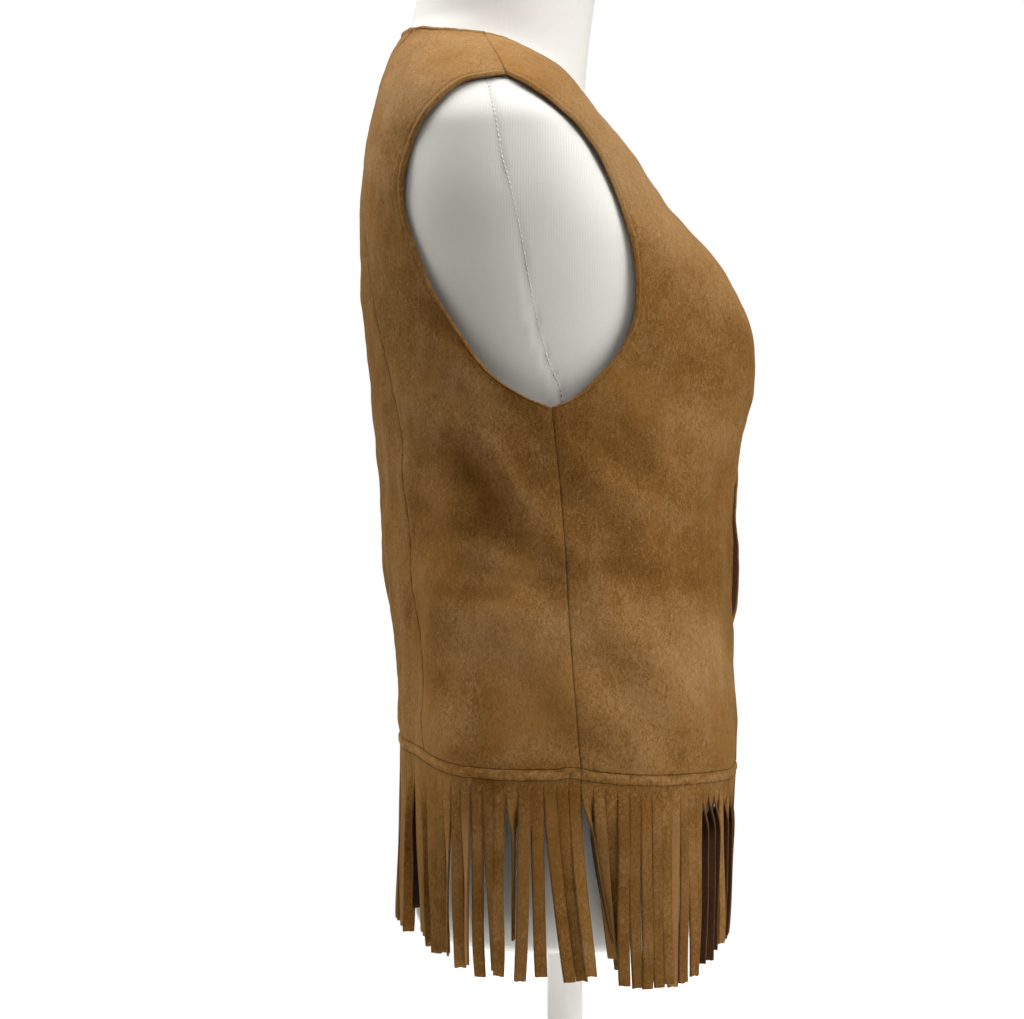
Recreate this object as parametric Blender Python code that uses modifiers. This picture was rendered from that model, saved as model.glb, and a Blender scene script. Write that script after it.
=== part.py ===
# A fringed suede vest hanging open on a limbless dress form with a round stand.
# Metres, +Z up. The wearer faces -Y and the wearer's right is -X. The origin is on the floor,
# at the middle of the round base.

import math
from bisect import bisect_right

import bmesh
import bpy
from mathutils import Vector

# Cloth
WALL = 0.0018                # thickness of the suede
SEAM_GAP = 0.0003            # between two pieces at a seam
REST_GAP = 0.0016            # between the vest and the form it rests on

# Heights on the vest
HEM = (                      # bottom edge of the panels: degrees from the middle front, height
    (20, 0.2795),
    (58, 0.2812),
    (75, 0.2832),
    (88, 0.2872),
    (105, 0.2874),
    (140, 0.2965),
    (180, 0.2968),
)
HEM_ROWS = 6                 # rows of a panel over which it takes up the curve of the hem
HEM_GAP = 0.0005             # above and below the hem band
UNDERARM_HEIGHT = 0.511
SHOULDER_TIP_HEIGHT = 0.7205
NECK_POINT_HEIGHT = 0.768    # where the shoulder seam meets the neckline
BACK_NECK_HEIGHT = 0.778
BACK_NECK_HALF = 0.036       # from the middle to the back seam at the neckline

# Grid of the panels
ROWS_BELOW_ARM = 11
ROWS_AT_ARM = 17
CROWDING = 0.55              # how much closer the rows lie at both ends of the armhole
ROWS_AT_BACK_NECK = 3
FRONT_COLUMNS = 9
SIDE_BACK_COLUMNS = 8
CENTRE_BACK_COLUMNS = 10

# Hem band, a narrow raised ridge between the panels and the fringe
BAND_HEIGHT = 0.0070
BAND_RAISE = 0.0009
BAND_SPLAY = 0.0006          # its rounded wall spreads this much past its inner edges
BAND_WALL = 0.0020
BAND_SECTION = 0.0125        # length of one section of the band
BAND_ROWS = 3

# Fringe
STRAP_PITCH = 0.0076
STRAP_WIDTH = 0.0069
STRAP_TAPER = 0.88           # share of the width left at the tip
STRAP_LENGTHS = (            # by how many degrees the strap hangs away from the middle front
    (20, 0.1000),
    (45, 0.1000),
    (52, 0.1045),
    (60, 0.1150),
    (72, 0.1190),
    (84, 0.1170),
    (95, 0.1162),
    (108, 0.1138),
    (120, 0.1110),
    (150, 0.1120),
)
STRAP_ROWS = 3
HEADING = 0.0050             # uncut strip above the slits
FRINGE_WALL = 0.0014

# Dress form
FORM_BOTTOM = 0.170
FORM_CHEST = 0.690           # above it the rings lie closer together
FORM_NECK = 0.790
FORM_TOP = 0.850
FORM_EDGE = 0.006            # rounding of its bottom and neck edges
FORM_SEGMENTS = 40
BODY_RINGS = 20
SHOULDER_RINGS = 12
NECK_RINGS = 2
BUST_TURN = math.radians(33)
BUST_HEIGHT = 0.556
BUST_DEPTH = 0.026
BUST_TURN_SPREAD = math.radians(15)
BUST_HEIGHT_SPREAD = 0.045

# Stand
BASE_RADIUS = 0.160
BASE_THICKNESS = 0.014
BASE_BEVEL = 0.004
POLE_RADIUS = 0.0125
FOOT_RADIUS = 0.024
FLANGE_RADIUS = 0.045
FLANGE_THICKNESS = 0.006

# Rings of the form: at each level of its side, how far the ring rises at the front and back,
# its half width, its front, back and middle along Y, and how square its outline is.
FORM_COLUMNS = ("level", "front_rise", "back_rise", "half_width", "front", "back", "middle", "square")
FORM_RINGS = (
    (0.170, 0.000, 0.000, 0.166, -0.0965, 0.1030, 0.006, 2.50),
    (0.200, 0.000, 0.000, 0.171, -0.1005, 0.1060, 0.006, 2.50),
    (0.260, 0.000, 0.000, 0.170, -0.0995, 0.1060, 0.006, 2.50),
    (0.310, 0.000, 0.000, 0.160, -0.0955, 0.1030, 0.007, 2.50),
    (0.360, 0.000, 0.000, 0.143, -0.0880, 0.0995, 0.008, 2.40),
    (0.410, 0.000, 0.000, 0.131, -0.0825, 0.0990, 0.009, 2.30),
    (0.460, 0.000, 0.000, 0.137, -0.091, 0.110, 0.011, 2.22),
    (0.510, 0.000, 0.000, 0.150, -0.098, 0.1235, 0.013, 2.22),
    (0.560, 0.000, 0.000, 0.157, -0.1015, 0.1325, 0.016, 2.30),
    (0.605, -0.001, 0.000, 0.164, -0.0945, 0.138, 0.020, 2.35),
    (0.650, -0.003, 0.000, 0.1685, -0.0665, 0.1388, 0.027, 2.40),
    (0.690, -0.008, 0.002, 0.1655, -0.0425, 0.135, 0.033, 2.45),
    (0.715, -0.014, 0.005, 0.1525, -0.0235, 0.130, 0.039, 2.40),
    (0.735, -0.022, 0.008, 0.127, -0.0150, 0.125, 0.046, 2.30),
    (0.752, -0.030, 0.011, 0.096, -0.012, 0.1185, 0.052, 2.20),
    (0.768, -0.034, 0.010, 0.064, -0.013, 0.1115, 0.056, 2.10),
    (0.785, -0.012, 0.004, 0.0605, -0.0165, 0.1075, 0.047, 2.00),
    (0.807, -0.004, 0.000, 0.0595, -0.0205, 0.1036, 0.042, 2.00),
    (0.850, 0.000, 0.000, 0.0600, -0.0270, 0.0980, 0.036, 2.00),
)

# How far the vest hangs clear of the form.
EASE_COLUMNS = ("level", "front", "side", "back")
EASE = (
    (0.150, 0.014, 0.015, 0.006),
    (0.260, 0.014, 0.016, 0.006),
    (0.310, 0.018, 0.021, 0.008),
    (0.360, 0.022, 0.028, 0.0145),
    (0.410, 0.028, 0.030, 0.022),
    (0.460, 0.021, 0.021, 0.014),
    (0.510, 0.009, 0.010, 0.0055),
    (0.560, 0.001, 0.006, 0.0015),
    (0.605, 0.000, 0.003, 0.000),
    (0.650, 0.000, 0.001, 0.000),
    (0.900, 0.000, 0.000, 0.000),
)

# Edges of the panels on one side, from the hem up, as heights and places along X or Y.
FRONT_EDGE_X = (
    (0.2796, 0.0460),
    (0.340, 0.0445),
    (0.400, 0.0440),
    (0.460, 0.0450),
    (0.520, 0.0490),
    (0.570, 0.0560),
    (0.620, 0.0640),
    (0.670, 0.0700),
    (0.710, 0.0725),
    (0.745, 0.0720),
)
SIDE_SEAM_Y = (
    (0.2872, -0.0050),
    (0.350, 0.0000),
    (0.453, 0.0065),
    (UNDERARM_HEIGHT, 0.0125),
)
FRONT_ARMHOLE_Y = (
    (UNDERARM_HEIGHT, 0.0125),
    (0.517, -0.0010),
    (0.531, -0.0160),
    (0.550, -0.0315),
    (0.575, -0.0395),
    (0.605, -0.0385),
    (0.640, -0.0290),
    (0.675, -0.0120),
    (0.702, 0.0140),
)
BACK_ARMHOLE_Y = (
    (UNDERARM_HEIGHT, 0.0125),
    (0.518, 0.0290),
    (0.532, 0.0490),
    (0.560, 0.0700),
    (0.600, 0.0915),
    (0.640, 0.1040),
    (0.675, 0.1005),
    (0.700, 0.0860),
    (0.7165, 0.0640),
)
BACK_SEAM_X = (
    (0.2965, 0.1335),
    (0.350, 0.1225),
    (0.415, 0.1075),
    (0.470, 0.1000),
    (0.530, 0.0960),
    (0.580, 0.0870),
    (0.630, 0.0710),
    (0.680, 0.0550),
    (0.730, 0.0430),
    (BACK_NECK_HEIGHT, BACK_NECK_HALF),
)

# The largest folds: start and end as a turn in degrees and a level, half width and height.
FOLD_COLUMNS = ("turn_a", "level_a", "turn_b", "level_b", "width", "height")
FOLDS = (
    (-128, 0.528, -96, 0.462, 0.014, 0.0050),
    (-138, 0.405, -92, 0.372, 0.016, 0.0050),
    (-128, 0.318, -104, 0.300, 0.020, 0.0040),
    (-34, 0.520, -66, 0.452, 0.018, 0.0040),
    (-50, 0.360, -74, 0.318, 0.022, 0.0045),
    (124, 0.520, 94, 0.470, 0.015, 0.0045),
    (134, 0.412, 98, 0.384, 0.017, 0.0045),
    (38, 0.515, 70, 0.445, 0.018, 0.0035),
    (56, 0.352, 80, 0.322, 0.022, 0.0040),
    (150, 0.360, 178, 0.345, 0.020, 0.0030),
    (-172, 0.420, -146, 0.430, 0.016, 0.0030),
)

# Upright flutes above the hem: how many go round, where they start and their height.
FLUTES = (
    (4, 1.2, 0.0008),
    (7, 0.6, 0.0013),
    (11, 2.1, 0.0009),
)
FLUTE_BOTTOM = 0.270
FLUTE_TOP = 0.420            # the flutes fade out by this level

# The left front edge curls outwards below the bust: level and how far it stands out.
EDGE_CURL = (
    (0.150, 0.0125),
    (0.350, 0.0125),
    (0.385, 0.0150),
    (0.420, 0.0172),
    (0.465, 0.0128),
    (0.500, 0.0170),
    (0.550, 0.0000),
)
CURL_TURN = math.radians(20)
CURL_REACH = 0.034           # from the edge to where the front lies flat again

QUARTER = math.radians(90)
MEAN_RADIUS = 0.15           # turns a small angle round the body into a length

COLOURS = {
    "suede": (0.262, 0.141, 0.047, 1.0),
    "form_cloth": (0.745, 0.723, 0.680, 1.0),
    "stand_paint": (0.640, 0.615, 0.570, 1.0),
}
ROUGHNESS = {"suede": 0.92, "form_cloth": 0.85, "stand_paint": 0.35}


def smooth_curve(places, values):
    """A monotone cubic curve through the values, held level past both ends."""
    slopes = [(values[i + 1] - values[i]) / (places[i + 1] - places[i]) for i in range(len(places) - 1)]
    tangents = [slopes[0]]
    for before, after in zip(slopes, slopes[1:]):
        tangents.append(0.0 if before * after <= 0 else 2 * before * after / (before + after))
    tangents.append(slopes[-1])

    def value(place):
        if place <= places[0]:
            return values[0]
        if place >= places[-1]:
            return values[-1]
        i = bisect_right(places, place) - 1
        width = places[i + 1] - places[i]
        t = (place - places[i]) / width
        start = (1 + 2 * t) * (1 - t) ** 2 * values[i] + t * (1 - t) ** 2 * width * tangents[i]
        end = t * t * (3 - 2 * t) * values[i + 1] + t * t * (t - 1) * width * tangents[i + 1]
        return start + end

    return value


def table_curves(columns, rows):
    """A curve along the first column for each of the other columns."""
    places = [row[0] for row in rows]
    return {name: smooth_curve(places, [row[k] for row in rows]) for k, name in enumerate(columns) if k}


def bell(distance, spread):
    return math.exp(-0.5 * (distance / spread) ** 2)


def ramp(value, start, end):
    """From 0 at start to 1 at end, level at both."""
    t = min(max((value - start) / (end - start), 0.0), 1.0)
    return t * t * (3 - 2 * t)


FORM = table_curves(FORM_COLUMNS, FORM_RINGS)
VEST_EASE = table_curves(EASE_COLUMNS, EASE)
CURL = table_curves(("level", "out"), EDGE_CURL)
STRAPS = table_curves(("turn", "length"), STRAP_LENGTHS)
HEM_LINE = table_curves(("turn", "height"), HEM)


def ring_point(turn, level, ease_front=0.0, ease_side=0.0, ease_back=0.0):
    """A point of a body ring. The turn runs from the front towards the wearer's left."""
    ring = {name: curve(level) for name, curve in FORM.items()}
    across, ahead = math.sin(turn), math.cos(turn)
    if ahead > 0:
        depth = ring["middle"] - ring["front"] + ease_front
        rise = ring["front_rise"]
    else:
        depth = ring["back"] - ring["middle"] + ease_back
        rise = ring["back_rise"]
    power = ring["square"]
    spread = abs(across / (ring["half_width"] + ease_side)) ** power + abs(ahead / depth) ** power
    radius = spread ** (-1 / power)
    height = level + rise * abs(ahead) ** 1.5
    bust = BUST_DEPTH * bell(height - BUST_HEIGHT, BUST_HEIGHT_SPREAD)
    bust *= bell(turn - BUST_TURN, BUST_TURN_SPREAD) + bell(turn + BUST_TURN, BUST_TURN_SPREAD)
    return Vector((radius * across, ring["middle"] - radius * ahead - bust, height))


def vest_base(turn, level):
    """The vest's inner face before its folds and its gap to the form."""
    ease = {name: curve(level) for name, curve in VEST_EASE.items()}
    return ring_point(math.remainder(turn, math.tau), level, ease["front"], ease["side"], ease["back"])


def outward(turn, level):
    """The direction straight out of the vest."""
    step = 0.002
    sideways = vest_base(turn + step / MEAN_RADIUS, level) - vest_base(turn - step / MEAN_RADIUS, level)
    upwards = vest_base(turn, level + step) - vest_base(turn, level - step)
    return sideways.cross(upwards).normalized()


def fold_height(turn, level):
    """How far the large folds stand out at a place."""
    total = 0.0
    here = Vector((turn * MEAN_RADIUS, level))
    for row in FOLDS:
        fold = dict(zip(FOLD_COLUMNS, row))
        start = Vector((math.radians(fold["turn_a"]) * MEAN_RADIUS, fold["level_a"]))
        run = Vector((math.radians(fold["turn_b"]) * MEAN_RADIUS, fold["level_b"])) - start
        along = min(max((here - start).dot(run) / run.length_squared, 0.0), 1.0)
        fade = 0.35 + 0.65 * math.sin(math.pi * along)
        total += fold["height"] * fade * bell((here - start - run * along).length, fold["width"])
    return total


def flute_height(turn, level):
    """Soft upright flutes that grow towards the hem."""
    total = sum(height * math.cos(count * turn + start) for count, start, height in FLUTES)
    return total * (1 - ramp(level, FLUTE_BOTTOM, FLUTE_TOP))


def edge_curl(turn, level):
    """How far the left front stands out where its edge curls."""
    if turn < 0:
        return 0.0
    return CURL["out"](level) * (1 - ramp((turn - CURL_TURN) * MEAN_RADIUS, 0, CURL_REACH))


def vest_point(turn, level):
    """A point of the vest's inner face."""
    turn = math.remainder(turn, math.tau)
    away = REST_GAP + fold_height(turn, level) + flute_height(turn, level) + edge_curl(turn, level)
    return vest_base(turn, level) + outward(turn, level) * away


def hem_level(turn):
    """Level of the panels' bottom edge."""
    return HEM_LINE["height"](math.degrees(abs(math.remainder(turn, math.tau))))


def locate(height, goal, axis, low, high):
    """Turn and level where the vest has this height and this place along X or Y."""
    level = height
    turn = low
    for _ in range(10):
        start, end = low, high
        rising = vest_base(high, level)[axis] > vest_base(low, level)[axis]
        for _ in range(26):
            turn = 0.5 * (start + end)
            if (vest_base(turn, level)[axis] < goal) == rising:
                start = turn
            else:
                end = turn
        level += height - vest_base(turn, level).z
    return turn, level


def edge_line(rows, axis, low, high):
    """The (turn, level) points of an edge on the wearer's left side."""
    return [locate(height, place, axis, math.radians(low), math.radians(high)) for height, place in rows]


def walk(points, count, crowding=0.0):
    """Points along a smooth line through the given ones, closer together at its ends where crowded."""
    lengths = [0.0]
    for a, b in zip(points, points[1:]):
        lengths.append(lengths[-1] + math.hypot((b[0] - a[0]) * MEAN_RADIUS, b[1] - a[1]))
    turns = smooth_curve(lengths, [p[0] for p in points])
    levels = smooth_curve(lengths, [p[1] for p in points])
    shares = [k / count - crowding * math.sin(math.tau * k / count) / math.tau for k in range(count + 1)]
    return [(turns(lengths[-1] * share), levels(lengths[-1] * share)) for share in shares]


def panel_lines():
    """Boundaries of the panels on the left side, each as a list of (turn, level) rows."""
    neck_point = (QUARTER, NECK_POINT_HEIGHT)
    tip = (QUARTER, SHOULDER_TIP_HEIGHT)
    rows = ROWS_BELOW_ARM + ROWS_AT_ARM
    side_seam = walk(edge_line(SIDE_SEAM_Y, 1, 60, 130), ROWS_BELOW_ARM)
    front_arm = walk(edge_line(FRONT_ARMHOLE_Y, 1, 40, 130) + [tip], ROWS_AT_ARM, CROWDING)
    back_arm = walk(edge_line(BACK_ARMHOLE_Y, 1, 50, 165) + [tip], ROWS_AT_ARM, CROWDING)
    back_seam = walk(edge_line(BACK_SEAM_X, 0, 178, 92), rows - ROWS_AT_BACK_NECK)
    back_neck = walk([back_seam[-1], neck_point], ROWS_AT_BACK_NECK)
    return {
        "front_edge": walk(edge_line(FRONT_EDGE_X, 0, 3, 88) + [neck_point], rows),
        "front_side": side_seam + front_arm[1:],
        "back_side": side_seam + back_arm[1:],
        "back_seam": back_seam,
        "back_seam_and_neck": back_seam + back_neck[1:],
    }


def make_material(name):
    material = bpy.data.materials.new(name)
    material.use_nodes = True
    shader = material.node_tree.nodes["Principled BSDF"]
    shader.inputs["Base Color"].default_value = COLOURS[name]
    shader.inputs["Roughness"].default_value = ROUGHNESS[name]
    shader.inputs["Metallic"].default_value = 0.0
    return material


def add_object(name, source, collection, material):
    """A new object from a bmesh, which is freed."""
    mesh = bpy.data.meshes.new(name)
    source.to_mesh(mesh)
    source.free()
    mesh.shade_smooth()
    mesh.set_sharp_from_angle(angle=math.radians(40))
    mesh.materials.append(material)
    thing = bpy.data.objects.new(name, mesh)
    collection.objects.link(thing)
    return thing


def add_cloth(name, columns, rows, place, thickness, collection, material, keep=None):
    """A wall of cloth outside a grid whose vertices lie where place(column, row) says."""
    sheet = bmesh.new()
    bmesh.ops.create_grid(sheet, x_segments=columns, y_segments=rows, size=1.0)

    def spot(co):
        return (co.x + 1) * 0.5 * columns, (co.y + 1) * 0.5 * rows

    if keep:
        left_out = [f for f in sheet.faces if not keep(*(int(v) for v in spot(f.calc_center_median())))]
        bmesh.ops.delete(sheet, geom=left_out, context="FACES")
    for vertex in sheet.verts:
        vertex.co = place(*(round(v) for v in spot(vertex.co)))
    sheet.normal_update()
    sample = sheet.faces[:][0]
    if sample.normal.dot(Vector((*sample.calc_center_median().xy, 0))) < 0:
        bmesh.ops.reverse_faces(sheet, faces=sheet.faces)
    thing = add_object(name, sheet, collection, material)
    wall = thing.modifiers.new("wall", "SOLIDIFY")
    wall.thickness = thickness
    wall.offset = 1.0
    return thing


def drawn_in(line, other):
    """A boundary moved along the surface towards another, by half a seam gap."""
    moved = []
    for (turn, level), (other_turn, other_level) in zip(line, other):
        across = vest_base(other_turn, other_level) - vest_base(turn, level)
        share = 0.5 * SEAM_GAP / across.length
        moved.append((turn + (other_turn - turn) * share, level + (other_level - level) * share))
    return moved


def add_panel(name, side, lines, columns, collection, material):
    """A panel between two boundary lines. The side is 1 for the wearer's left and -1 for the right."""
    start, end = drawn_in(*lines), drawn_in(*reversed(lines))

    def spot(share, row):
        return tuple(a + (b - a) * share for a, b in zip(start[row], end[row]))

    def place(column, row):
        turn, level = spot(column / columns, row)
        hem_turn, hem_place = spot(column / columns, 0)
        level += (hem_level(hem_turn) - hem_place) * (1 - ramp(row, 0, HEM_ROWS))
        return vest_point(side * turn, level)

    return add_cloth(name, columns, len(start) - 1, place, WALL, collection, material)


def beside_shoulder_seam(line, direction):
    """A line whose last row stops half a seam gap short of the shoulder seam."""
    turn, level = line[-1]
    return line[:-1] + [(turn + direction * 0.5 * SEAM_GAP / 0.09, level)]


def add_panels(lines, collection, material):
    front = [beside_shoulder_seam(lines[key], -1) for key in ("front_edge", "front_side")]
    side_back = [beside_shoulder_seam(lines[key], 1) for key in ("back_seam_and_neck", "back_side")]
    add_panel("front_right", -1, front, FRONT_COLUMNS, collection, material)
    add_panel("front_left", 1, front, FRONT_COLUMNS, collection, material)
    add_panel("side_back_right", -1, side_back, SIDE_BACK_COLUMNS, collection, material)
    add_panel("side_back_left", 1, side_back, SIDE_BACK_COLUMNS, collection, material)
    left = lines["back_seam"]
    right = [(math.tau - turn, level) for turn, level in left]
    add_panel("centre_back", 1, (left, right), CENTRE_BACK_COLUMNS, collection, material)


class Hem:
    """The hem line from one turn to another, measured along its length."""

    steps = 400

    def __init__(self, start, end):
        self.turns = [start + (end - start) * k / self.steps for k in range(self.steps + 1)]
        points = [vest_point(turn, hem_level(turn)) for turn in self.turns]
        self.lengths = [0.0]
        for a, b in zip(points, points[1:]):
            self.lengths.append(self.lengths[-1] + (b - a).length)
        self.length = self.lengths[-1]

    def turn(self, distance):
        """The turn at a distance along the hem."""
        i = min(max(bisect_right(self.lengths, distance) - 1, 0), self.steps - 1)
        share = (distance - self.lengths[i]) / (self.lengths[i + 1] - self.lengths[i])
        return self.turns[i] + (self.turns[i + 1] - self.turns[i]) * share


def hanging(hem, distance, drop, lift=0.0):
    """A point straight below the hem, lifted outwards, with the directions outwards and along."""
    turn = hem.turn(distance)
    level = hem_level(turn)
    out = outward(turn, level)
    out = Vector((out.x, out.y, 0)).normalized()
    return vest_point(turn, level) - Vector((0, 0, drop)) + out * lift, out, Vector((-out.y, out.x, 0))


def add_band(name, hem, collection, material):
    columns = round(hem.length / BAND_SECTION)

    def place(column, row):
        share = row / BAND_ROWS
        distance = 0.5 * SEAM_GAP + (hem.length - SEAM_GAP) * column / columns
        drop = BAND_SPLAY + HEM_GAP + (BAND_HEIGHT - HEM_GAP - 2 * BAND_SPLAY) * share
        return hanging(hem, distance, drop, BAND_RAISE * math.sin(math.pi * share))[0]

    return add_cloth(name, columns, BAND_ROWS, place, BAND_WALL, collection, material)


def strap_sway(number):
    """Sideways and outward shift of a strap's tip."""
    sideways = 0.0016 * math.sin(0.47 * number) + 0.0010 * math.sin(0.21 * number + 1.3)
    outwards = 0.0022 * math.sin(0.83 * number + 0.4) + 0.0016 * math.sin(2.9 * number)
    return sideways, outwards


def add_fringe(name, hem, first_number, collection, material):
    """A strip that is slit into straps below its heading. Returns the number of straps."""
    usable = hem.length - SEAM_GAP
    straps = round(usable / STRAP_PITCH)
    pitch = usable / straps
    slit = pitch - STRAP_WIDTH
    columns = 2 * straps - 1

    def place(column, row):
        strap, edge = divmod(column, 2)
        middle = 0.5 * SEAM_GAP + pitch * (strap + 0.5)
        down = max(row - 1, 0) / STRAP_ROWS
        half = 0.5 * STRAP_WIDTH * (1 - (1 - STRAP_TAPER) * down)
        if row <= 1 and column in (0, columns):
            half += 0.5 * slit
        sideways, outwards = strap_sway(first_number + strap)
        turn = math.degrees(abs(math.remainder(hem.turn(middle), math.tau)))
        drop = BAND_HEIGHT + HEM_GAP + min(row, 1) * HEADING + down * STRAPS["length"](turn)
        spot, out, along = hanging(hem, middle + (half if edge else -half), drop)
        return spot + (along * sideways + out * outwards) * down ** 1.5

    def keep(column, row):
        return column % 2 == 0 or row == 0

    add_cloth(name, columns, 1 + STRAP_ROWS, place, FRINGE_WALL, collection, material, keep)
    return straps


def add_hem(lines, collection, material):
    edge, seam = lines["front_edge"][0][0], lines["front_side"][0][0]
    runs = {"right": (-seam, -edge), "left": (edge, seam), "back": (seam, math.tau - seam)}
    number = 0
    for name, (start, end) in runs.items():
        hem = Hem(start, end)
        add_band("hem_band_" + name, hem, collection, material)
        number += add_fringe("fringe_" + name, hem, number, collection, material)


def even_steps(start, end, count):
    return [start + (end - start) * k / count for k in range(count + 1)]


def form_rows():
    """Level and inset of each ring of the form, from the bottom pole to the top one."""
    edge = FORM_EDGE
    rows = [(FORM_BOTTOM, 1.0), (FORM_BOTTOM, edge), (FORM_BOTTOM + 0.3 * edge, 0.3 * edge)]
    rows += [(level, 0) for level in even_steps(FORM_BOTTOM + edge, FORM_CHEST, BODY_RINGS)]
    rows += [(level, 0) for level in even_steps(FORM_CHEST, FORM_NECK, SHOULDER_RINGS)[1:]]
    rows += [(level, 0) for level in even_steps(FORM_NECK, FORM_TOP - edge, NECK_RINGS)[1:]]
    rows += [(FORM_TOP - 0.3 * edge, 0.3 * edge), (FORM_TOP, edge), (FORM_TOP, 1.0)]
    return rows


def add_form(collection, material):
    """A ball whose rings of vertices are moved to the form's rings."""
    rows = form_rows()
    ball = bmesh.new()
    bmesh.ops.create_uvsphere(ball, u_segments=FORM_SEGMENTS, v_segments=len(rows) - 1, radius=1.0)
    for vertex in ball.verts:
        level, inset = rows[round(math.acos(-vertex.co.z) / math.pi * (len(rows) - 1))]
        place = ring_point(math.atan2(vertex.co.x, -vertex.co.y), level)
        middle = Vector((0, FORM["middle"](level), level))
        outline = place - middle
        outline.z = 0
        share = max(1 - inset / outline.length, 0.0) if inset < 1 else 0.0
        vertex.co = middle + outline * share + Vector((0, 0, place.z - level))
    return add_object("form_torso", ball, collection, material)


def add_base(collection, material):
    disc = bmesh.new()
    bmesh.ops.create_cone(
        disc, cap_ends=True, segments=64, radius1=BASE_RADIUS, radius2=BASE_RADIUS, depth=BASE_THICKNESS
    )
    base = add_object("stand_base", disc, collection, material)
    base.location = (0, 0, BASE_THICKNESS / 2)
    bevel = base.modifiers.new("rounded_edge", "BEVEL")
    bevel.width = BASE_BEVEL
    bevel.segments = 2
    bevel.limit_method = "ANGLE"
    return base


def add_pole(collection, material):
    """A turned pole with a foot below and a flange under the form."""
    bottom = BASE_THICKNESS + SEAM_GAP
    top = FORM_BOTTOM - SEAM_GAP
    outline = (
        (0, top),
        (FLANGE_RADIUS, top),
        (FLANGE_RADIUS, top - FLANGE_THICKNESS),
        (0.5 * (FLANGE_RADIUS + POLE_RADIUS), top - 1.8 * FLANGE_THICKNESS),
        (POLE_RADIUS, top - 5 * FLANGE_THICKNESS),
        (POLE_RADIUS, bottom + 3 * FLANGE_THICKNESS),
        (FOOT_RADIUS, bottom + FLANGE_THICKNESS),
        (FOOT_RADIUS, bottom),
        (0, bottom),
    )
    profile = bmesh.new()
    spots = [profile.verts.new((x, 0, z)) for x, z in outline]
    for a, b in zip(spots, spots[1:]):
        profile.edges.new((a, b))
    pole = add_object("stand_pole", profile, collection, material)
    turning = pole.modifiers.new("turning", "SCREW")
    turning.steps = 32
    turning.render_steps = 32
    turning.use_merge_vertices = True
    turning.merge_threshold = 0.0001
    return pole


def main():
    for thing in list(bpy.data.objects):
        bpy.data.objects.remove(thing)
    collection = bpy.data.collections.new("fringed_vest_on_form")
    bpy.context.scene.collection.children.link(collection)
    materials = {name: make_material(name) for name in COLOURS}
    lines = panel_lines()
    add_panels(lines, collection, materials["suede"])
    add_hem(lines, collection, materials["suede"])
    add_form(collection, materials["form_cloth"])
    add_pole(collection, materials["stand_paint"])
    add_base(collection, materials["stand_paint"])


main()
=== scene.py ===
# Fringed suede vest on a limbless dress form, seen from the wearer's right.
# Metres, +Z up. The wearer faces -Y and the wearer's right is -X.
import math

import bpy
import numpy as np
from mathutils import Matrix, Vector


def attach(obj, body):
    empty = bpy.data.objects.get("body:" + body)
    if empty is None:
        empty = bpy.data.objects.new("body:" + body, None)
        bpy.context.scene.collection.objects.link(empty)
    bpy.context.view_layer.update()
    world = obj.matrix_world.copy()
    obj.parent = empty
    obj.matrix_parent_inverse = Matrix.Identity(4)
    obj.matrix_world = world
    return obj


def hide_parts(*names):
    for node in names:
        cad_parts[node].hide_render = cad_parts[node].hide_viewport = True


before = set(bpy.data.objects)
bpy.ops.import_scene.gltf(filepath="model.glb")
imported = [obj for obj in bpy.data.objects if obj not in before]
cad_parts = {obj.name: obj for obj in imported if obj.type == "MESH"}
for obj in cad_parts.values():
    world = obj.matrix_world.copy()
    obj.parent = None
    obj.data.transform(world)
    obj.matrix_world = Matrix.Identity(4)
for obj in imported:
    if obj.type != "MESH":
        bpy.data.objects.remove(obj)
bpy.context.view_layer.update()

# ---- camera, light and floor ----

photoView = {
    "place": (-1.5, 0.0371, 0.42),
    "metresPerPixel": 0.0007,      # at the middle plane of the form
    "pixelsWide": 1024,
    "pixelsHigh": 1019,
    "eyeRow": 553,                 # pixel row at the camera's height
    "sensor": 36.0,
}

studio = {
    "softboxes": (                 # place, aim, width, height, watts, colour
        ((-0.40, 0.00, 2.30), (0.0, 0.0, 0.45), 1.5, 1.5, 34, (1.0, 0.985, 0.97)),
        ((-0.60, -2.00, 1.85), (0.0, 0.0, 0.45), 1.2, 1.4, 20, (1.0, 0.985, 0.95)),
        ((-0.90, -2.10, 0.60), (0.0, 0.0, 0.42), 1.2, 1.2, 10, (1.0, 0.980, 0.94)),
        ((-0.90, -1.30, 1.35), (0.0, 0.0, 0.60), 0.8, 0.8, 13, (1.0, 0.985, 0.96)),
        ((0.25, 1.55, 2.15), (0.0, 0.0, 0.60), 1.2, 1.2, 48, (1.0, 0.985, 0.96)),
        ((-2.60, -0.60, 1.20), (0.0, 0.0, 0.42), 1.4, 1.6, 1.5, (1.0, 0.98, 0.95)),
        ((2.10, -0.60, 1.50), (0.0, 0.0, 0.45), 1.4, 1.6, 4, (1.0, 0.985, 0.97)),
    ),
    "roomLight": 0.07,
    "roomTint": (1.0, 0.87, 0.60),
    "backdrop": 1.0,
    "floorRadius": 0.70,
    "floorPaper": (0.86, 0.86, 0.855),
    "floorGlow": 0.30,
}


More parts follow.
